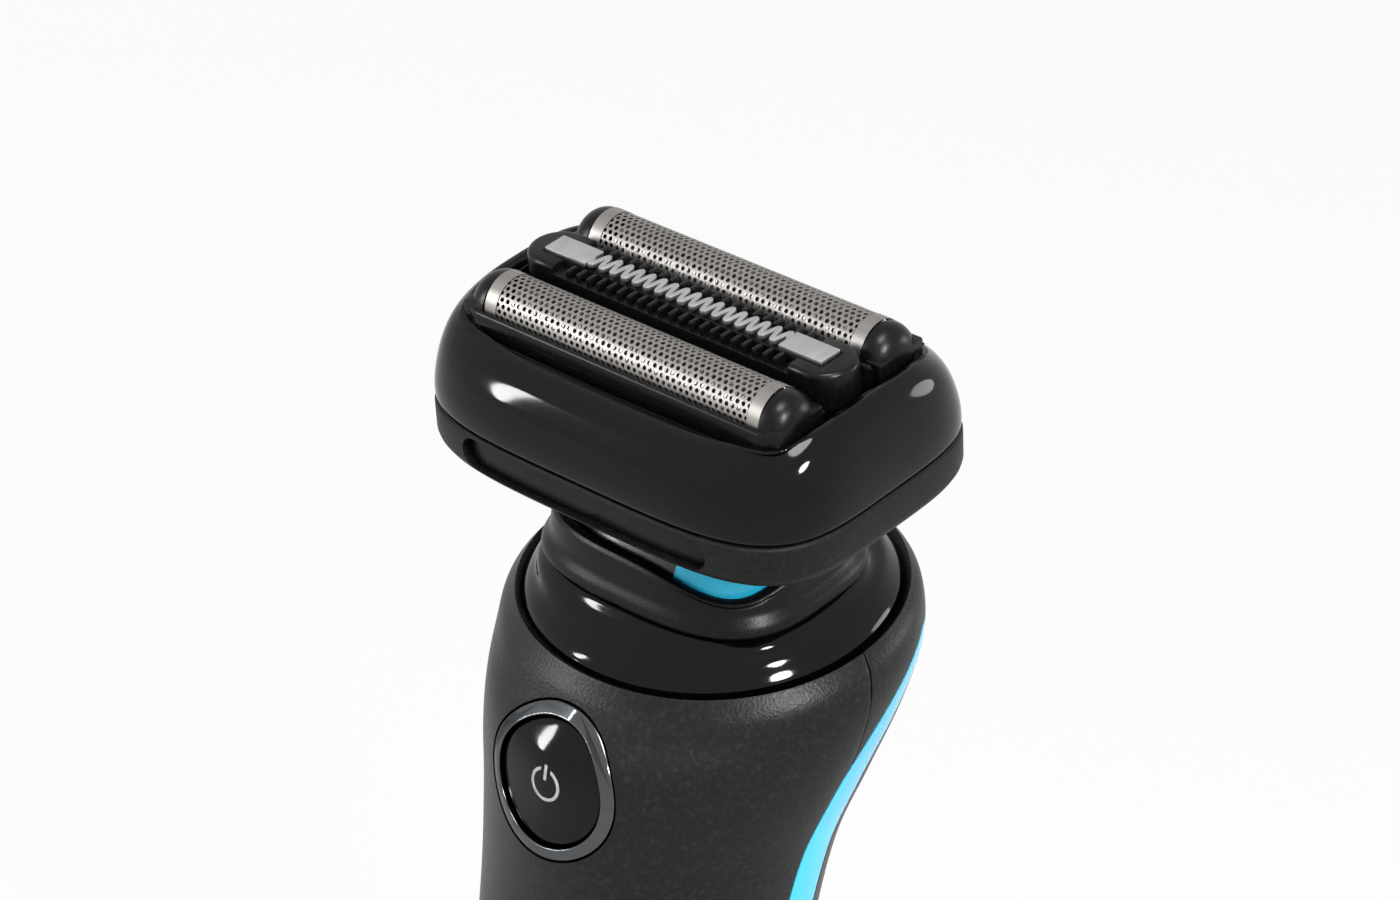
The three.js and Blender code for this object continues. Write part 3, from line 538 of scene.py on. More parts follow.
# %% [markdown]
# ## Foils
# A shaving foil is a thin sheet of steel, etched with hundreds of six-sided holes in staggered rows and bent
# into an arch. We make one cell of the sheet, repeat it with two Array modifiers, and bend the flat sheet
# over the arch by moving its points. Plain bands stay at the ends and along both feet.

# %% One cell of the perforated sheet
CELL_X, CELL_V, HOLE_RADIUS = 0.86, 0.72, 0.30
SHEET_ROWS = 16
SHEET_COLUMNS = 44


def hex_cell(name, x, v):
    """A six-sided hole in a rectangle whose long sides have a middle point, so that staggered rows meet."""
    piece = primitive("circle", name, vertices=6, radius=HOLE_RADIUS * MM)
    with editing(piece):
        bpy.ops.mesh.extrude_edges_move()
        with points_of(piece) as mesh:
            for vertex in (v for v in mesh.verts if v.select):
                middle = abs(vertex.co.x) < 0.1 * HOLE_RADIUS * MM
                across = 0 if middle else math.copysign(CELL_X / 2, vertex.co.x)
                vertex.co = Vector((across, math.copysign(CELL_V / 2, vertex.co.y), 0)) * MM
    return placed(piece, (x, v, 0))


def strip(x0, x1, v0, v1, across, along, lift=0.0):
    """A plain rectangle of the sheet, cut fine enough to bend."""
    piece = primitive("grid", "strip", x_subdivisions=across, y_subdivisions=along, size=1)
    piece.scale = ((x1 - x0) * MM, (v1 - v0) * MM, 1)
    return placed(piece, ((x0 + x1) / 2, (v0 + v1) / 2, lift))


# %% Bend the sheet and hold it in its arch
def wrap(piece, radius, crest, y):
    """Bend a flat sheet: its width becomes an arc over the crest, and what is left hangs straight down."""
    quarter = radius * math.pi / 2
    for vertex in piece.data.vertices:
        v, lift = vertex.co.y / MM, vertex.co.z / MM
        turn = max(-quarter, min(quarter, v)) / radius
        drop = abs(v) - quarter if abs(v) > quarter else 0
        across = (radius + lift) * math.sin(turn)
        up = crest - radius + (radius + lift) * math.cos(turn) - drop
        vertex.co.y, vertex.co.z = (y + across) * MM, up * MM
    return piece


BAND, BAND_LIFT, FOOT_DROP, SHEET = 1.7, 0.06, 3.6, 0.1


def make_foil(row, y):
    half = SHEET_ROWS * CELL_V / 2
    first = -(SHEET_COLUMNS - 1) * CELL_X / 2 - CELL_X / 4
    pair = joined("pair", [hex_cell("even", first, CELL_V / 2 - half),
                           hex_cell("odd", first + CELL_X / 2, 1.5 * CELL_V - half)])
    repeated(pair, SHEET_COLUMNS, (CELL_X, 0, 0), merge=True)
    repeated(pair, SHEET_ROWS // 2, (0, 2 * CELL_V, 0), merge=True)
    end = FOIL_LENGTH / 2
    foot = FOIL_RADIUS * math.pi / 2 + FOOT_DROP
    plain = [strip(-end, end, side * half, side * foot, 1, 8) for side in (-1, 1)]
    bands = [strip(side * (end - BAND), side * end, -foot, foot, 1, 40, BAND_LIFT) for side in (-1, 1)]
    piece = joined(f"{row}_foil_sheet", [pair, *plain, *bands])
    wrap(piece, FOIL_RADIUS - 0.12, CREST - 0.12, y)
    walled(outward(piece), SHEET)
    return finish_piece(in_head(piece), FOIL_STEEL, f"{row}_foil_unit", "foil_steel", f"{row}_foil", angle=40)


for row_name, row_y in ROWS.items():
    make_foil(row_name, row_y)

# %% [markdown]
# ## What holds the foils, and what cuts behind them
# Each foil sits in a narrow black holder with a bulb at either end. Behind it a row of thin arched blades,
# seen dimly through the holes, slides to and fro.

# %% Foil holders
HOLDER_X = FOIL_LENGTH / 2 + 3.2
HOLDER_Y = 4.45
HOLDER_BASE = SEAM + 5.2
HOLDER_TOP = HOLDER_BASE + 6.4


def end_bulb(side, y):
    """A stub of round bar with a domed tip, standing on a post of the holder."""
    inner, outer = FOIL_LENGTH / 2 + 0.15, HOLDER_X
    middle = (side * (inner + outer) / 2, y, CREST - 0.55 - FOIL_RADIUS)
    bulb = cylinder("bulb", FOIL_RADIUS + 0.3, outer - inner, middle, 64, (0, math.pi / 2, 0))
    with editing(bulb, "DESELECT"):
        select_faces(bulb, lambda normal: normal.x * side > 0.9)
        bpy.ops.mesh.bevel(offset=2.7 * MM, segments=9, affect="EDGES")
    low_x, high_x = sorted((side * inner, side * (outer - 0.05)))
    post_y = HOLDER_Y - 0.6
    post = block("post", (low_x, y - post_y, HOLDER_BASE), (high_x, y + post_y, HOLDER_TOP + 0.4))
    return boolean(bulb, bevel(post, 0.3, 2), "UNION")


def round_corners(piece, radius):
    """Bevel the upright edges only."""
    with editing(piece, "DESELECT"):
        bpy.ops.mesh.select_mode(type="EDGE")
        with points_of(piece) as mesh:
            for edge in mesh.edges:
                a, b = (vertex.co for vertex in edge.verts)
                edge.select = abs(a.z - b.z) > 0.1 * MM and (a.xy - b.xy).length < 0.01 * MM
        bpy.ops.mesh.bevel(offset=radius * MM, segments=10, affect="EDGES")
        bpy.ops.mesh.select_mode(type="VERT")
    return piece


def make_holder(row, y):
    bar = block(f"{row}_holder", (-HOLDER_X, y - HOLDER_Y, HOLDER_BASE),
                (HOLDER_X, y + HOLDER_Y, HOLDER_TOP))
    round_corners(bar, 2.8)
    bevel(bar, 0.5, 4, 60)
    room_x, room_y = FOIL_LENGTH / 2 + 0.1, FOIL_RADIUS + 0.25
    boolean(bar, block("room", (-room_x, y - room_y, HOLDER_BASE - 1),
                       (room_x, y + room_y, HOLDER_TOP + 1)))
    bevel(bar, 0.08, 2, 60)
    for side in (-1, 1):
        boolean(bar, end_bulb(side, y), "UNION")
    return finish_piece(in_head(bar), SOFT_BLACK, f"{row}_foil_unit", "gloss_black", f"{row}_foil_holder")


for row_name, row_y in ROWS.items():
    make_holder(row_name, row_y)


# %% Cutter blocks
BLADE_PITCH = 1.1
BLADES = 32


def make_cutter(row, y):
    radius = FOIL_RADIUS - 0.65
    first = (-(BLADES - 1) * BLADE_PITCH / 2, y, CREST - 0.7 - radius)
    blades = cylinder(f"{row}_cutter_blades", radius, 0.3, first, 32, (0, math.pi / 2, 0))
    with editing(blades):
        bpy.ops.mesh.inset(thickness=0.5 * MM)
    repeated(blades, BLADES, (BLADE_PITCH, 0, 0))
    base = SEAM + 6.9
    spine = block("spine", (-17.8, y - 1.4, base), (17.8, y + 1.4, CREST - 3.4))
    stem = block("stem", (-2.3, y - 1.4, SEAM + 2.4), (2.3, y + 1.4, base + 0.5))
    boolean(stem, block("socket", (-1.3, y - 0.9, SEAM), (1.3, y + 0.9, base - 0.1)))
    piece = joined(f"{row}_cutter_blades", [blades, bevel(spine, 0.3), stem])
    return finish_piece(in_head(piece), BLADE_STEEL, f"{row}_cutter", "blade_steel", f"{row}_cutter_block")


for row_name, row_y in ROWS.items():
    make_cutter(row_name, row_y)

# %% [markdown]
# ## Trimmer
# Between the foils stands the long-hair trimmer: an oblong black guard with short comb fins along both sides,
# and on top a steel strip with square ends that winds from side to side between them.

# %% Trimmer guard
TRIMMER_TOP = SEAM + 14.8
TRIMMER_HALF = 20.7
GUARD_BASE = SEAM + 6
GUARD_HALF_WIDTH = 3.85


def oblong(name, half_x, radius, low, high):
    """A round-ended bar: a circle pulled apart at its middle, then extruded up."""
    piece = primitive("circle", name, vertices=64, radius=radius * MM, fill_type="NGON")
    placed(piece, (0, 0, low))
    with editing(piece):
        bpy.ops.mesh.extrude_region_move(TRANSFORM_OT_translate={"value": (0, 0, (high - low) * MM)})
    for vertex in piece.data.vertices:
        if abs(vertex.co.x) > 1e-7:
            vertex.co.x += math.copysign((half_x - radius) * MM, vertex.co.x)
    return outward(piece)


FIN_PITCH, FINS = 1.55, 21
ROOM_Y, SEAT_Y, SIDE_X, SIDE_Y = 1.68, 1.9, 17.6, 1.95


def make_guard():
    top = TRIMMER_TOP - 0.45
    guard = oblong("trimmer_guard_frame", HOLDER_X, GUARD_HALF_WIDTH, GUARD_BASE, top)
    bevel(guard, 0.7, 5)
    for side in (-1, 1):
        near, far = sorted((side * SIDE_Y, side * 5))
        boolean(guard, block("side", (-SIDE_X, near, top - 1.1), (SIDE_X, far, top + 2)))
    room_x, seat_x = TRIMMER_HALF - 0.7, TRIMMER_HALF + 0.25
    boolean(guard, block("room", (-room_x, -ROOM_Y, GUARD_BASE - 1), (room_x, ROOM_Y, top + 2)))
    boolean(guard, block("seat", (-seat_x, -SEAT_Y, top - 0.7), (seat_x, SEAT_Y, top + 2)))
    bevel(guard, 0.12, 2, 50)
    fins = []
    for side in (-1, 1):
        first = -(FINS - 1) * FIN_PITCH / 2
        near, far = sorted((side * 1.8, side * 3.55))
        fin = block("fin", (first - 0.33, near, top - 1.3), (first + 0.33, far, top - 0.05))
        bevel(fin, 0.24, 2)
        fins.append(repeated(fin, FINS, (FIN_PITCH, 0, 0)))
    piece = joined("trimmer_guard_frame", [guard, *fins])
    return finish_piece(in_head(piece), SOFT_BLACK, "trimmer_unit", "gloss_black", "trimmer_guard", angle=40)


make_guard()

# %% Winding trimmer strip
LOBES = 17
PLATE, PLATE_HALF = 6.2, 1.65
RIBBON = 0.3
SWING = 1.22


def winding(x, pitch):
    return SWING * math.sin(2 * math.pi * x / pitch)


def make_trimmer_strip():
    """A ribbon that winds from side to side, one wave to each pair of teeth, between two square plates."""
    reach = TRIMMER_HALF - PLATE
    pitch = 2 * reach / LOBES
    steps = 16 * LOBES
    ribbon = primitive("grid", "ribbon", x_subdivisions=steps, y_subdivisions=1, size=1)
    for vertex in ribbon.data.vertices:
        x = vertex.co.x * 2 * reach
        slope = SWING * 2 * math.pi / pitch * math.cos(2 * math.pi * x / pitch)
        across = math.copysign(RIBBON, vertex.co.y) / math.hypot(1, slope)
        vertex.co = Vector((x - slope * across, winding(x, pitch) + across, TRIMMER_TOP)) * MM
    plates = []
    for side in (-1, 1):
        low, high = sorted((side * (TRIMMER_HALF - PLATE), side * TRIMMER_HALF))
        plates.append(strip(low, high, -PLATE_HALF, PLATE_HALF, 1, 1, TRIMMER_TOP))
    piece = outward(joined("trimmer_winding_strip", [ribbon, *plates]))
    bevel(walled(piece, 0.6), 0.08, 2, 50)
    return finish_piece(in_head(piece), BLADE_STEEL, "trimmer_unit", "blade_steel", "trimmer_comb", angle=30)


make_trimmer_strip()

# %% [markdown]
# ## Head base and aprons
# Under a fine seam lies the satin ring of the head: an upright band, then a bevel that runs in under it. A
# round-ended apron is let in at the front and at the rear, a millimetre deep.

# %% Head base
RING_LOW = SEAM - 9.0
RING_PROFILE = [(-9.0, 7.4), (-8.95, 5.9), (-8.5, 5.2), (-5.5, 0.95), (-5.0, 0.45), (-4.5, 0.15),
                (-3.9, 0.0), (-0.6, 0.0), (-0.25, 0.08), (-0.02, 0.35), (-0.02, 2.6),
                (-4.9, 2.8), (-5.0, 13), (-6.4, 13), (-7.2, 7.6), (-9.0, 13)]
APRON_X, APRON_HALF, APRON_Z = 18.4, 2.1, SEAM - 2.5


def make_head_base():
    piece = ring_skin("head_base_shell", [head_section(SEAM + z, inset) for z, inset in RING_PROFILE])
    for side in (-1, 1):
        boolean(piece, apron_block(side, 0.0, 1.9))
    return finish_piece(in_head(piece), SATIN_HEAD, "head", "satin_black", "head_base", angle=25)


def head_core(inset):
    return skin("core", [head_section(RING_LOW, inset), head_section(SEAM + 2, inset)], 96)


def apron_block(side, margin, deep, shallow=None):
    """The room of an apron: a round-ended slab, trimmed on its inner side to follow the head's face."""
    slab = oblong("apron", APRON_X - margin, APRON_HALF - margin, 0, 8)
    placed(slab, (0, side * HEAD_Y + 4, APRON_Z), (math.pi / 2, 0, 0))
    boolean(slab, head_core(deep))
    if shallow:
        boolean(slab, head_core(shallow), "INTERSECT")
    keep_side(slab, side)
    return slab


def keep_side(piece, side):
    """Drop what lies beyond the middle plane of the head."""
    with editing(piece, "DESELECT"):
        with points_of(piece) as mesh:
            for vertex in mesh.verts:
                vertex.select = vertex.co.y * side < 0
            mesh.select_flush(True)
        bpy.ops.mesh.delete(type="VERT")


make_head_base()

# %% Aprons
for apron_name, apron_side in (("front_apron", -1), ("rear_apron", 1)):
    apron_piece = bevel(apron_block(apron_side, 0.3, 1.8, 1.0), 0.2, 3, 50)
    apron_piece.name = apron_name + "_panel"
    finish_piece(in_head(apron_piece), SATIN_NECK, "head", "satin_black", apron_name)

# %% [markdown]
# ## Dome and neck
# The dome is a barrel about the tilt axis, so that it turns inside the neck without opening a gap.
# The neck is a satin roll that flares at its foot.

# %% Dome
NECK_SQUARE = 3.0
DOME_HALF_LENGTH, DOME_RADIUS = 15.6, 12.8
DOME_TOP = SEAM - 9.3


# The black middle lies a little left: painted shade, which turns the left end of the mint dome black where it
# is in shade.
BLACK_HALF, PAINTED_SHADE_SHIFT = 8.7 * MM, 3 * MM


def mint_black_and_painted_shade():
    """The dome is a two-shot moulding: mint at both ends and a black middle; moving the black left paints
    shade on the left end.
    """
    material, tree, shader = new_finish("mint_black_and_painted_shade", MINT_COLOUR, 0.2)
    coordinates = tree.nodes.new("ShaderNodeTexCoord")
    split = tree.nodes.new("ShaderNodeSeparateXYZ")
    tree.links.new(coordinates.outputs["Object"], split.inputs["Vector"])
    reach = maths(tree, "ABSOLUTE", maths(tree, "ADD", split.outputs["X"], PAINTED_SHADE_SHIFT))
    edge = tree.nodes.new("ShaderNodeMapRange")
    edge.inputs["From Min"].default_value = BLACK_HALF - 0.1 * MM
    edge.inputs["From Max"].default_value = BLACK_HALF + 0.1 * MM
    tree.links.new(reach, edge.inputs["Value"])
    tree.links.new(ramp(tree, edge.outputs["Result"], (0.004, 0.004, 0.0045), MINT_COLOUR, 0.1, 0.9),
                   shader.inputs["Base Color"])
    grain = pattern(tree, "ShaderNodeTexNoise", 400)
    vary_roughness(tree, shader, grain.outputs["Fac"], 0.16, 0.3)
    bump(tree, shader, grain.outputs["Fac"], 0.01 * MM, 0.3)
    return material


MINT_BLACK_AND_PAINTED_SHADE = mint_black_and_painted_shade()


def make_barrel(name, half_length, radius, steps=48):
    """Half an outline in the XY plane, spun about the tilt axis."""
    piece = primitive("circle", name, vertices=4, radius=1)
    mesh = bmesh.new()
    outline = []
    for i in range(steps + 1):
        angle = -math.pi / 2 + math.pi * i / steps
        x = half_length * math.copysign(abs(math.sin(angle)) ** (2 / NECK_SQUARE), math.sin(angle))
        y = radius * abs(math.cos(angle)) ** (2 / NECK_SQUARE) if 0 < i < steps else 0
        outline.append(mesh.verts.new(Vector((x, y, 0)) * MM))
    for ends in zip(outline, outline[1:]):
        mesh.edges.new(ends)
    mesh.to_mesh(piece.data)
    mesh.free()
    with editing(piece):
        bpy.ops.mesh.spin(steps=96, angle=2 * math.pi, center=(0, 0, 0), axis=(1, 0, 0))
    return outward(piece)


def make_dome():
    """A barrel shell, trimmed level above and below, with a way for the lever."""
    piece = make_barrel("accent_dome", DOME_HALF_LENGTH, DOME_RADIUS)
    boolean(piece, make_barrel("room", DOME_HALF_LENGTH - 1.8, DOME_RADIUS - 1.8))
    boolean(piece, block("above", (-30, -30, DOME_TOP), (30, 30, 40)))
    boolean(piece, block("below", (-30, -30, -40), (30, 30, -4)))
    boolean(piece, block("lever_way", (-4.2, -6.5, 0), (4.2, 6.5, 30)))
    return finish_piece(in_head(piece), MINT_BLACK_AND_PAINTED_SHADE, "head", "accent", "head_dome")


make_dome()


# %% Neck
NECK_ROLL = [(0.35, 18.7, 14.8), (0.8, 18.8, 14.9), (1.6, 18.55, 14.65), (2.8, 17.75, 14.0),
             (4.4, 17.5, 13.7), (5.6, 17.35, 13.45)]
NECK_RIM = [(5.6, 17.35, 13.45), (6.05, 17.05, 13.15), (6.2, 16.7, 12.8)]
NECK_INSIDE = [(6.15, 16.2, 12.2), (5.2, 16.15, 12.35), (0.35, 16.25, 13.2)]
SCOOP_DEPTH, SCOOP_TURN, SCOOP_WIDTH = 2.1, 0.8, 0.42
SCOOP_FOOT, SCOOP_RISE = 2.2, 3.6


def scoop(point):
    """The neck's rim dips on the right, at the front and the rear, where the mint dome shows."""
    height = max(0, min(1, (point.z - SCOOP_FOOT) / SCOOP_RISE))
    turn = math.atan2(point.x / 17.4, abs(point.y) / 13.4)
    return SCOOP_DEPTH * height * height * math.exp(-((turn - SCOOP_TURN) / SCOOP_WIDTH) ** 2)


def make_neck():
    roll, rim, inside = ([level(*row, NECK_SQUARE) for row in rows]
                         for rows in (NECK_ROLL, NECK_RIM, NECK_INSIDE))
    piece = ring_skin("neck_roll", [*flow(roll, 5), *flow(rim, 4)[1:], *inside])
    for vertex in piece.data.vertices:
        vertex.co.z -= scoop(vertex.co / MM) * MM
    return finish_piece(in_head(piece), SATIN_NECK, "grip", "satin_black", "neck_cover")


make_neck()

# %% [markdown]
# ## Grip
# The grip is one long skin that leans at the top, drawn once for each moulding. A straight cut parts the
# front shell from the rear one, and a curved ribbon on each side parts the mint strips. Solidify adds walls.

# %% The grip's outer skin
PIVOT_Z = PIVOT.z / MM
MID_Y = PIVOT.y / MM
RIM_X, RIM_Y, RIM_CENTRE_Y, RIM_DROP = 22.6, 21.5, 2.2, 4.0
COLLAR_LEAN = math.radians(18.5)
BASE_TOP = 7.3
GRIP_SECTIONS = [
    (BASE_TOP, 0.6, 18.4, 17.4, 17, 2.3, 2.3, 0),
    (30, 0, 19, 17.4, 17.2, 2.3, 2.3, 0),
    (55, -0.6, 19.6, 17.8, 17.2, 2.3, 2.3, 0),
    (78, -1.2, 20.4, 19.2, 17.4, 2.3, 2.1, 0),
    (92, -1.2, 21.6, 22, 18.8, 2.2, 1.9, 0.02),
    (101, -0.8, 23.6, 24.2, 21.8, 2.2, 1.75, 0.06),
    (PIVOT_Z - 15.6, 0.8, 25.3, 25.8, 24, 2.15, 1.72, 0.17),
    (PIVOT_Z - 10, 1.8, 25.9, 24.8, 25, 2.15, 1.8, 0.26),
    (PIVOT_Z - 6.2, 2.1, 25.2, 23.4, 24.4, 2.1, 2, COLLAR_LEAN),
    (PIVOT_Z - RIM_DROP, RIM_CENTRE_Y, RIM_X + 1.1, RIM_Y + 0.95, RIM_Y + 1.3, 2.05, 2.05, COLLAR_LEAN),
]


def moved(section):
    return (section[0], section[1] + MID_Y, *section[2:])


def grip_skin(name):
    return skin(name, flow([moved(section) for section in GRIP_SECTIONS], 6), 180, close=False)


GAP = 0.16


# %% Where the mint strip runs
STRIP_PATH = [(4, 1.5, 6.0), (60, 1.5, 6.0), (88, 1.6, 6.0), (98, 2.4, 5.8), (106, 4.6, 5.4),
              (112, 8.0, 4.8), (116.5, 12.0, 4.0), (119.5, 15.5, 2.6)]


def strip_room(name, hand, grow=0.0):
    """A thick ribbon beside the grip: the path lists its height, depth and width."""
    path = flow(STRIP_PATH, 8)
    piece = primitive("grid", name, x_subdivisions=1, y_subdivisions=len(path) - 1, size=1)
    rows = sorted({round(vertex.co.y, 5) for vertex in piece.data.vertices})
    for vertex in piece.data.vertices:
        z, y, width = path[rows.index(round(vertex.co.y, 5))]
        across = math.copysign(width / 2 + grow, vertex.co.x)
        end = grow if z > 100 else 0
        vertex.co = Vector((hand * 8, y + MID_Y + across, z + end * 0.8)) * MM
    with editing(piece):
        bpy.ops.mesh.extrude_region_move(TRANSFORM_OT_translate={"value": (hand * 24 * MM, 0, 0)})
    return outward(piece)


# %% Two shells and two strips
SEAM_Y = 1.5 + MID_Y


def make_shell(name, side):
    piece = grip_skin(name)
    cut = (SEAM_Y + side * GAP / 2) * MM
    with editing(piece):
        bpy.ops.mesh.bisect(plane_co=(0, cut, 0), plane_no=(0, side, 0), clear_inner=True)
    walled(piece)
    for hand in (-1, 1):
        boolean(piece, strip_room("room", hand, GAP))
    return bevel(piece, 0.15, 3, 50)


def make_strip(name, hand):
    piece = walled(grip_skin(name))
    boolean(piece, strip_room("room", hand), "INTERSECT")
    return bevel(piece, 0.15, 3, 50)


rear = make_shell("rear_grip_shell", 1)
finish_piece(rear, SATIN_GRIP, "grip", "satin_black", "rear_shell")
for hand_name, strip_hand in (("left", -1), ("right", 1)):
    mint_strip = make_strip(f"mint_strip_{hand_name}", strip_hand)
    finish_piece(mint_strip, MINT, "grip", "accent", f"side_strip_{hand_name}")

# %% [markdown]
# ## Power button
# A round gloss button sits in a steel rim on the swell of the grip. Both are modelled flat, then laid on the
# grip's skin by a ray through each point, so that they follow its curve.

# %% Lay a flat piece on the skin
BUTTON_Z, BUTTON_RADIUS, BEZEL = 100.0, 7.6, 1.6
WINDOW_Z, WINDOW_HALF, WINDOW_RADIUS = 62.0, 11.0, 3.2


def skin_depth(x, z):
    """How far back the grip's skin lies there."""
    hit, place, _, _ = outer_skin.ray_cast(Vector((x, -0.1, z)), Vector((0, 1, 0)))
    assert hit, f"the skin is missed at {x}, {z}"
    return place.y


def lay_on_grip(piece):
    """Points at depth y behind a flat face keep that depth behind the skin."""
    for vertex in piece.data.vertices:
        vertex.co.y += skin_depth(vertex.co.x, vertex.co.z)


def disc(name, radius, front, back, segments=72, rings=8):
    """A flat round plate at the button's place, facing -Y, its face divided into rings by repeated inset."""
    middle = (0, (front + back) / 2, BUTTON_Z)
    piece = cylinder(name, radius, back - front, middle, segments, (math.pi / 2, 0, 0))
    with editing(piece, "DESELECT"):
        select_faces(piece, lambda normal: abs(normal.y) > 0.9)
        for _ in range(rings - 1):
            bpy.ops.mesh.inset(thickness=radius / rings * MM, use_individual=True)
    return piece


def across_button(point):
    """How far a point lies from the button's centre, as a share of its radius."""
    return (point - Vector((0, 0, BUTTON_Z * MM))).xz.length / (BUTTON_RADIUS * MM)


outer_skin = grip_skin("guide_skin")
bpy.context.view_layer.update()


# %% Front shell with its two openings
def window_bar(name, grow, low, high):
    bar = oblong(name, WINDOW_HALF + grow, WINDOW_RADIUS + grow, low, high)
    return placed(bar, (0, 0, WINDOW_Z), (math.pi / 2, math.pi / 2, 0))


def front_shell():
    shell = make_shell("front_grip_shell", -1)
    boolean(shell, disc("hole", BUTTON_RADIUS + BEZEL + 0.45, -40, -6, 96, 1))
    boolean(shell, window_bar("window_hole", 0.25, 0, 30))
    return finish_piece(shell, SATIN_GRIP, "grip", "satin_black", "front_shell", angle=28)


front_shell()


# %% Button, its rim and a plain power mark
BUTTON_FACE, BUTTON_DOME, MARK_LIFT = 0.75, 0.7, 0.06


def make_button():
    button = disc("round_button", BUTTON_RADIUS, BUTTON_FACE, 3.6)
    bevel(button, 0.35, 4, 60)
    for vertex in button.data.vertices:
        if vertex.co.y < 2.0 * MM:
            vertex.co.y += BUTTON_DOME * MM * (1 - across_button(vertex.co) ** 2)
    lay_on_grip(button)
    post = disc("button_post", 1.6, 0, 1, 32, 1)
    front, back = skin_depth(0, BUTTON_Z * MM) / MM + 3.4, box_of("push_switch")[0][1] - 1.1
    for vertex in post.data.vertices:
        vertex.co.y = (front if vertex.co.y < 0.5 * MM else back) * MM
    piece = joined("round_button", [button, outward(post)])
    return finish_piece(piece, GLOSS_BLACK, "button", "gloss_black", "power_button", angle=40)


make_button()


def ring_plate(name, inner, outer, front, back):
    plate = disc(name, outer, front, back, 96, 1)
    boolean(plate, disc("bore", inner, front - 5, back + 5, 96, 1))
    return bevel(plate, 0.22, 4, 50)


rim = ring_plate("button_rim", BUTTON_RADIUS + 0.3, BUTTON_RADIUS + BEZEL + 0.2, 0.05, 1.5)
lay_on_grip(rim)
finish_piece(rim, RIM_STEEL, "grip", "steel", "button_bezel", angle=40)


def power_mark():
    ring = ring_plate("mark_ring", 1.75, 2.15, 0.0, 0.12)
    boolean(ring, block("break", (-0.75, -2, BUTTON_Z + 0.5), (0.75, 2, BUTTON_Z + 3)))
    bar = block("bar", (-0.2, 0.0, BUTTON_Z + 0.6), (0.2, 0.12, BUTTON_Z + 2.5))
    mark = joined("power_mark", [ring, bar])
    for vertex in mark.data.vertices:
        rise = BUTTON_FACE + BUTTON_DOME * (1 - across_button(vertex.co) ** 2) - MARK_LIFT
        vertex.co.y += rise * MM
    lay_on_grip(mark)
    return finish_piece(mark, MARK_GREY, "button", "gloss_black", angle=40)


power_mark()


# %% Indicator window
def make_window():
    window = bevel(window_bar("status_window", 0, -1.5, -0.12), 0.2, 3, 50)
    for vertex in window.data.vertices:
        vertex.co.y = abs(vertex.co.y)
    lay_on_grip(outward(window))
    return finish_piece(window, CLEAR, "grip", "clear", "indicator_window", angle=40)


make_window()
bpy.data.objects.remove(outer_skin)

# %% [markdown]
# ## Collar
# The gloss collar closes the top of the grip. Its rim leans a little more than the head; from there it
# rounds over and climbs to the foot of the neck.

# %% Collar
COLLAR_FOOT, NECK_FOOT_SQUARE = -0.2, 2.7


def along(height, lean):
    return -math.sin(lean) * height + MID_Y, math.cos(lean) * height + PIVOT_Z


def collar_ring(height, half_x, depth, square=2.05):
    y, z = along(height, COLLAR_LEAN)
    return (z - RIM_DROP, y + RIM_CENTRE_Y, half_x, depth, depth, square, square, COLLAR_LEAN)


def neck_ring(height, half_x, depth):
    y, z = along(height, HEAD_LEAN)
    return (z, y, half_x, depth, depth, NECK_FOOT_SQUARE, NECK_FOOT_SQUARE, HEAD_LEAN)


def make_collar():
    outside = [collar_ring(-2.1, RIM_X, RIM_Y), collar_ring(-0.1, RIM_X, RIM_Y),
               collar_ring(0.35, RIM_X - 0.12, RIM_Y - 0.12), collar_ring(1.0, RIM_X - 0.6, RIM_Y - 0.6),
               collar_ring(2.4, RIM_X - 2.0, RIM_Y - 2.5, 2.2), neck_ring(COLLAR_FOOT - 0.9, 19.6, 15.9),
               neck_ring(COLLAR_FOOT - 0.1, 18.9, 15.1), neck_ring(COLLAR_FOOT + 0.2, 18.4, 14.6)]
    inside = [neck_ring(COLLAR_FOOT + 0.1, 16.85, 13.55), collar_ring(-2.1, 16.9, 15.6)]
    piece = ring_skin("gloss_collar", [*flow(outside, 5), *inside])
    return finish_piece(piece, GLOSS_BLACK, "grip", "gloss_black", "collar")


make_collar()

# %% [markdown]
# ## Base
# The base cap closes the foot of the grip. It has a well for each screw and a socket with two contact pins.

# %% Base cap, socket and screws
SCREW_X, SOCKET_HALF_X, SOCKET_HALF_Y = 12.4, 4.5, 2.75
CAP_PROFILE = [(0, 2.6), (0.1, 1.9), (0.7, 1.0), (2.0, 0.35), (3.6, 0.05), (BASE_TOP - 0.45, 0),
               (BASE_TOP - 0.32, 0.15)]


def base_section(z, inset):
    _, y, x, front, rear, *shape = moved(GRIP_SECTIONS[0])
    return (z, y, x - inset, front - inset, rear - inset, *shape)


def make_base():
    cap = skin("base_cap_shell", flow([base_section(*row) for row in CAP_PROFILE], 4))
    boolean(cap, block("socket_way", (-5.65, MID_Y - 3.95, -5), (5.65, MID_Y + 3.95, 20)))
    for side in (-1, 1):
        for radius, top in ((2.35, 3.4), (1.3, 18)):
            boolean(cap, cylinder("well", radius, 20, (side * SCREW_X, MID_Y, top - 10)))
    bevel(cap, 0.2, 3, 45)
    return finish_piece(cap, SATIN_GRIP, "grip", "satin_black", "base_cap", angle=40)


make_base()


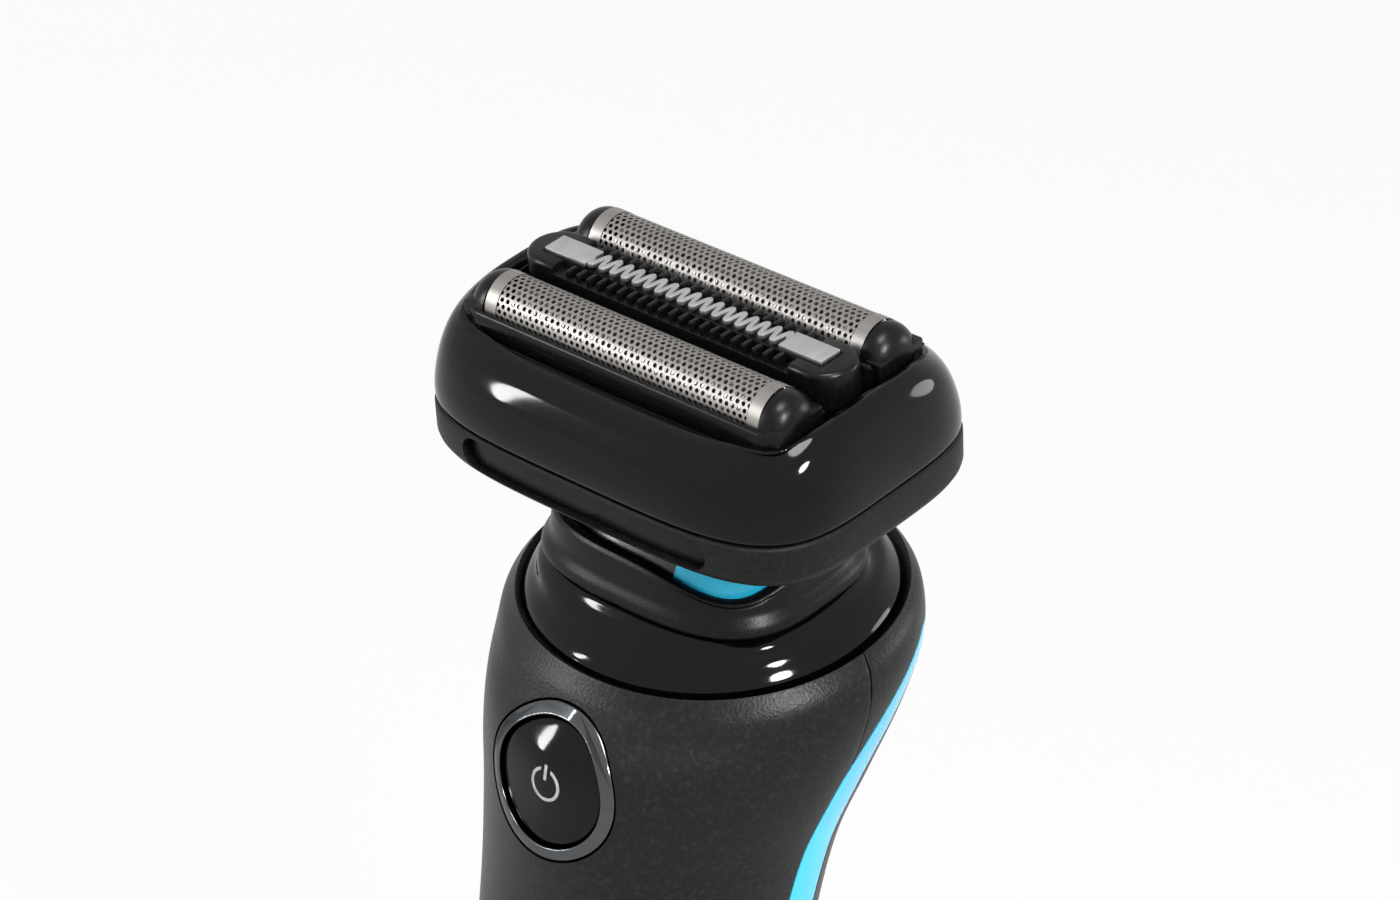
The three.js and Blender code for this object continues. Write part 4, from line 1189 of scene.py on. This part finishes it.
def make_socket():
    low, high = box_of("charging_socket")
    piece = bevel(block("charging_socket_moulding", low, high), 0.3, 3)
    middle = (low[1] + high[1]) / 2
    recess = block("recess", (-SOCKET_HALF_X, middle - SOCKET_HALF_Y, -5),
                   (SOCKET_HALF_X, middle + SOCKET_HALF_Y, 8))
    boolean(piece, bevel(recess, 0.8, 4))
    for side in ("left", "right"):
        x, y, _ = box_of(f"contact_pin_{side}")[0]
        boolean(piece, cylinder("pin_way", 1.0, 20, (x + 0.7, y + 0.7, 12), 32))
    bevel(piece, 0.12, 2, 50)
    return finish_piece(piece, MOULDED, "grip", "inner_plastic", "charging_socket", angle=40)


make_socket()


def screw(side):
    low, high = box_of(f"base_screw_{side}")
    x, y, neck = (low[0] + high[0]) / 2, (low[1] + high[1]) / 2, low[2] + 2.2
    head, shank = (cylinder("turned", radius, z1 - z0, (x, y, (z0 + z1) / 2), 40)
                   for radius, z0, z1 in ((2.1, low[2], neck), (1.0, neck, high[2])))
    bevel(head, 0.35, 3)
    for half_x, half_y in ((1.3, 0.3), (0.3, 1.3)):
        boolean(head, block("drive", (x - half_x, y - half_y, -1), (x + half_x, y + half_y, low[2] + 1.1)))
    piece = joined(f"cross_screw_{side}", [head, shank])
    return finish_piece(piece, PLAIN_STEEL, "grip", "steel", f"base_screw_{side}", angle=40)


for side_name in ("left", "right"):
    screw(side_name)

# %% [markdown]
# ## Springs
# The imported model has a sleeve for each float spring. Here it becomes a wound wire: a small circle turned by
# the Screw modifier about the spring's axis. It stands on the cassette.

# %% Wound springs
def wound_spring(row, side):
    name = f"{row}_float_spring_{side}"
    low, high = [Vector(corner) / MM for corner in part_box(name)]
    middle = HEAD_FRAME.inverted() @ ((low + high) / 2 * MM) / MM
    radius, wire, length, turns = 1.25, 0.24, 3.35, 4
    piece = primitive("circle", f"{row}_wound_spring_{side}", vertices=10, radius=wire * MM)
    placed(piece, (radius, 0, 0), (math.pi / 2, 0, 0))
    turned = piece.modifiers.new("wind", "SCREW")
    turned.angle = 2 * math.pi * turns
    turned.screw_offset = (length - 2 * wire) * MM
    turned.steps = turned.render_steps = 24 * turns
    turned.use_merge_vertices = False
    apply_modifiers(piece)
    for vertex in piece.data.vertices:
        vertex.co += Vector((middle[0], middle[1], middle[2] - length / 2 + wire)) * MM
    outward(piece)
    finish_piece(in_head(piece), PLAIN_STEEL, "cassette", "steel", name, angle=80)
    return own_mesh(piece)


for row_name in ROWS:
    for side_name in ("left", "right"):
        wound_spring(row_name, side_name)

# %% [markdown]
# ## Carried-over pieces
# The inner parts are shown as packed. They stay exactly where they are and only take a finish.

# %% Finishes for the inner parts
INNER_FINISHES = {
    SLEEVE: ["battery_cell"],
    PLAIN_STEEL: ["battery_tab_lower", "battery_tab_upper", "motor", "motor_shaft", "contact_pin_left",
                  "contact_pin_right", "pivot_pin_left", "pivot_pin_right", "lever_pin"],
    # The trimmer cutter takes darkened steel: painted shade under the winding strip.
    STEEL_PAINTED_SHADE: ["trimmer_cutter"],
    MOULDED: ["chassis", "swivel_yoke", "drive_lever", "drive_bridge", "push_switch"],
    SOLDER_MASK: ["circuit_board"],
    RUBBER: ["drive_seal"],
    CLEAR: ["light_guide"],
}
for finish, names in INNER_FINISHES.items():
    for name in names:
        node = frame["nodes"][name]
        node.data.materials.clear()
        node.data.materials.append(finish)
print(sum(len(names) for names in INNER_FINISHES.values()), "carried-over pieces have a finish")

# %% [markdown]
# ## Stage
# A pale floor and backdrop, and four soft round lights: right, above, behind right and front left.

# %% Floor and backdrop
WHITE_SHARE = 0.94


def mix_surface(tree, output, share, usual, seen):
    mix = tree.nodes.new("ShaderNodeMixShader")
    for source, entry in zip((share, usual, seen), mix.inputs):
        tree.links.new(source, entry)
    tree.links.new(mix.outputs["Shader"], tree.nodes[output].inputs["Surface"])


def white_for_camera(name, colour):
    """A pale matt surface that keeps soft shadows but is lifted to white where it is seen or mirrored."""
    material, tree, shader = new_finish(name, colour, 0.9)
    shader.inputs["Specular IOR Level"].default_value = 0.0
    glow = tree.nodes.new("ShaderNodeEmission")
    glow.inputs["Color"].default_value = (1, 1, 1, 1)
    glow.inputs["Strength"].default_value = 1.0
    share = maths(tree, "MULTIPLY", seen_directly(tree), WHITE_SHARE)
    mix_surface(tree, "Material Output", share, shader.outputs["BSDF"], glow.outputs["Emission"])
    return material


def seen_directly(tree):
    path = tree.nodes.new("ShaderNodeLightPath")
    total = path.outputs["Is Camera Ray"]
    for other in ("Is Glossy Ray", "Is Transmission Ray"):
        total = maths(tree, "MAXIMUM", total, path.outputs[other])
    return total


def stage_piece(name, size, location, rotation=(0, 0, 0)):
    piece = primitive("plane", name, size=size, location=location, rotation=rotation)
    piece.data.materials.append(STAGE_WHITE)
    return piece


STAGE_WHITE = white_for_camera("stage_white", (0.7, 0.7, 0.7))
stage_piece("floor", 9, (0, 0, -0.0004))
stage_piece("backdrop", 9, (-0.9, 1.2, 1.0), (math.pi / 2, 0, math.radians(37)))


# %% Lights
def area_light(name, place, size, energy):
    data = bpy.data.lights.new(name, "AREA")
    data.shape = "ELLIPSE"
    data.size, data.size_y = size
    data.energy = energy
    light = linked(name, data)
    light.location = place
    light.rotation_euler = (PIVOT - Vector(place)).to_track_quat("-Z", "Y").to_euler()
    return light


area_light("key_right", (0.55, -0.25, 0.45), (0.14, 0.18), 5)
area_light("top", (0.2, -0.28, 0.8), (0.3, 0.3), 4.5)
area_light("behind_right", (0.39, 0.52, 0.33), (0.24, 0.2), 0.9)
area_light("front_left", (-0.45, -0.5, 0.25), (0.06, 0.35), 2.5)


# %% World
def make_world():
    world = bpy.data.worlds.new("white")
    bpy.context.scene.world = world
    world.use_nodes = True
    tree = world.node_tree
    dim = tree.nodes["Background"]
    dim.inputs["Color"].default_value = (0.5, 0.5, 0.5, 1)
    dim.inputs["Strength"].default_value = 0.1
    white = tree.nodes.new("ShaderNodeBackground")
    white.inputs["Color"].default_value = (1, 1, 1, 1)
    mix_surface(tree, "World Output", seen_directly(tree), dim.outputs["Background"],
                white.outputs["Background"])


make_world()
bpy.context.scene.view_settings.view_transform = "Standard"
print("four area lights on a white stage")
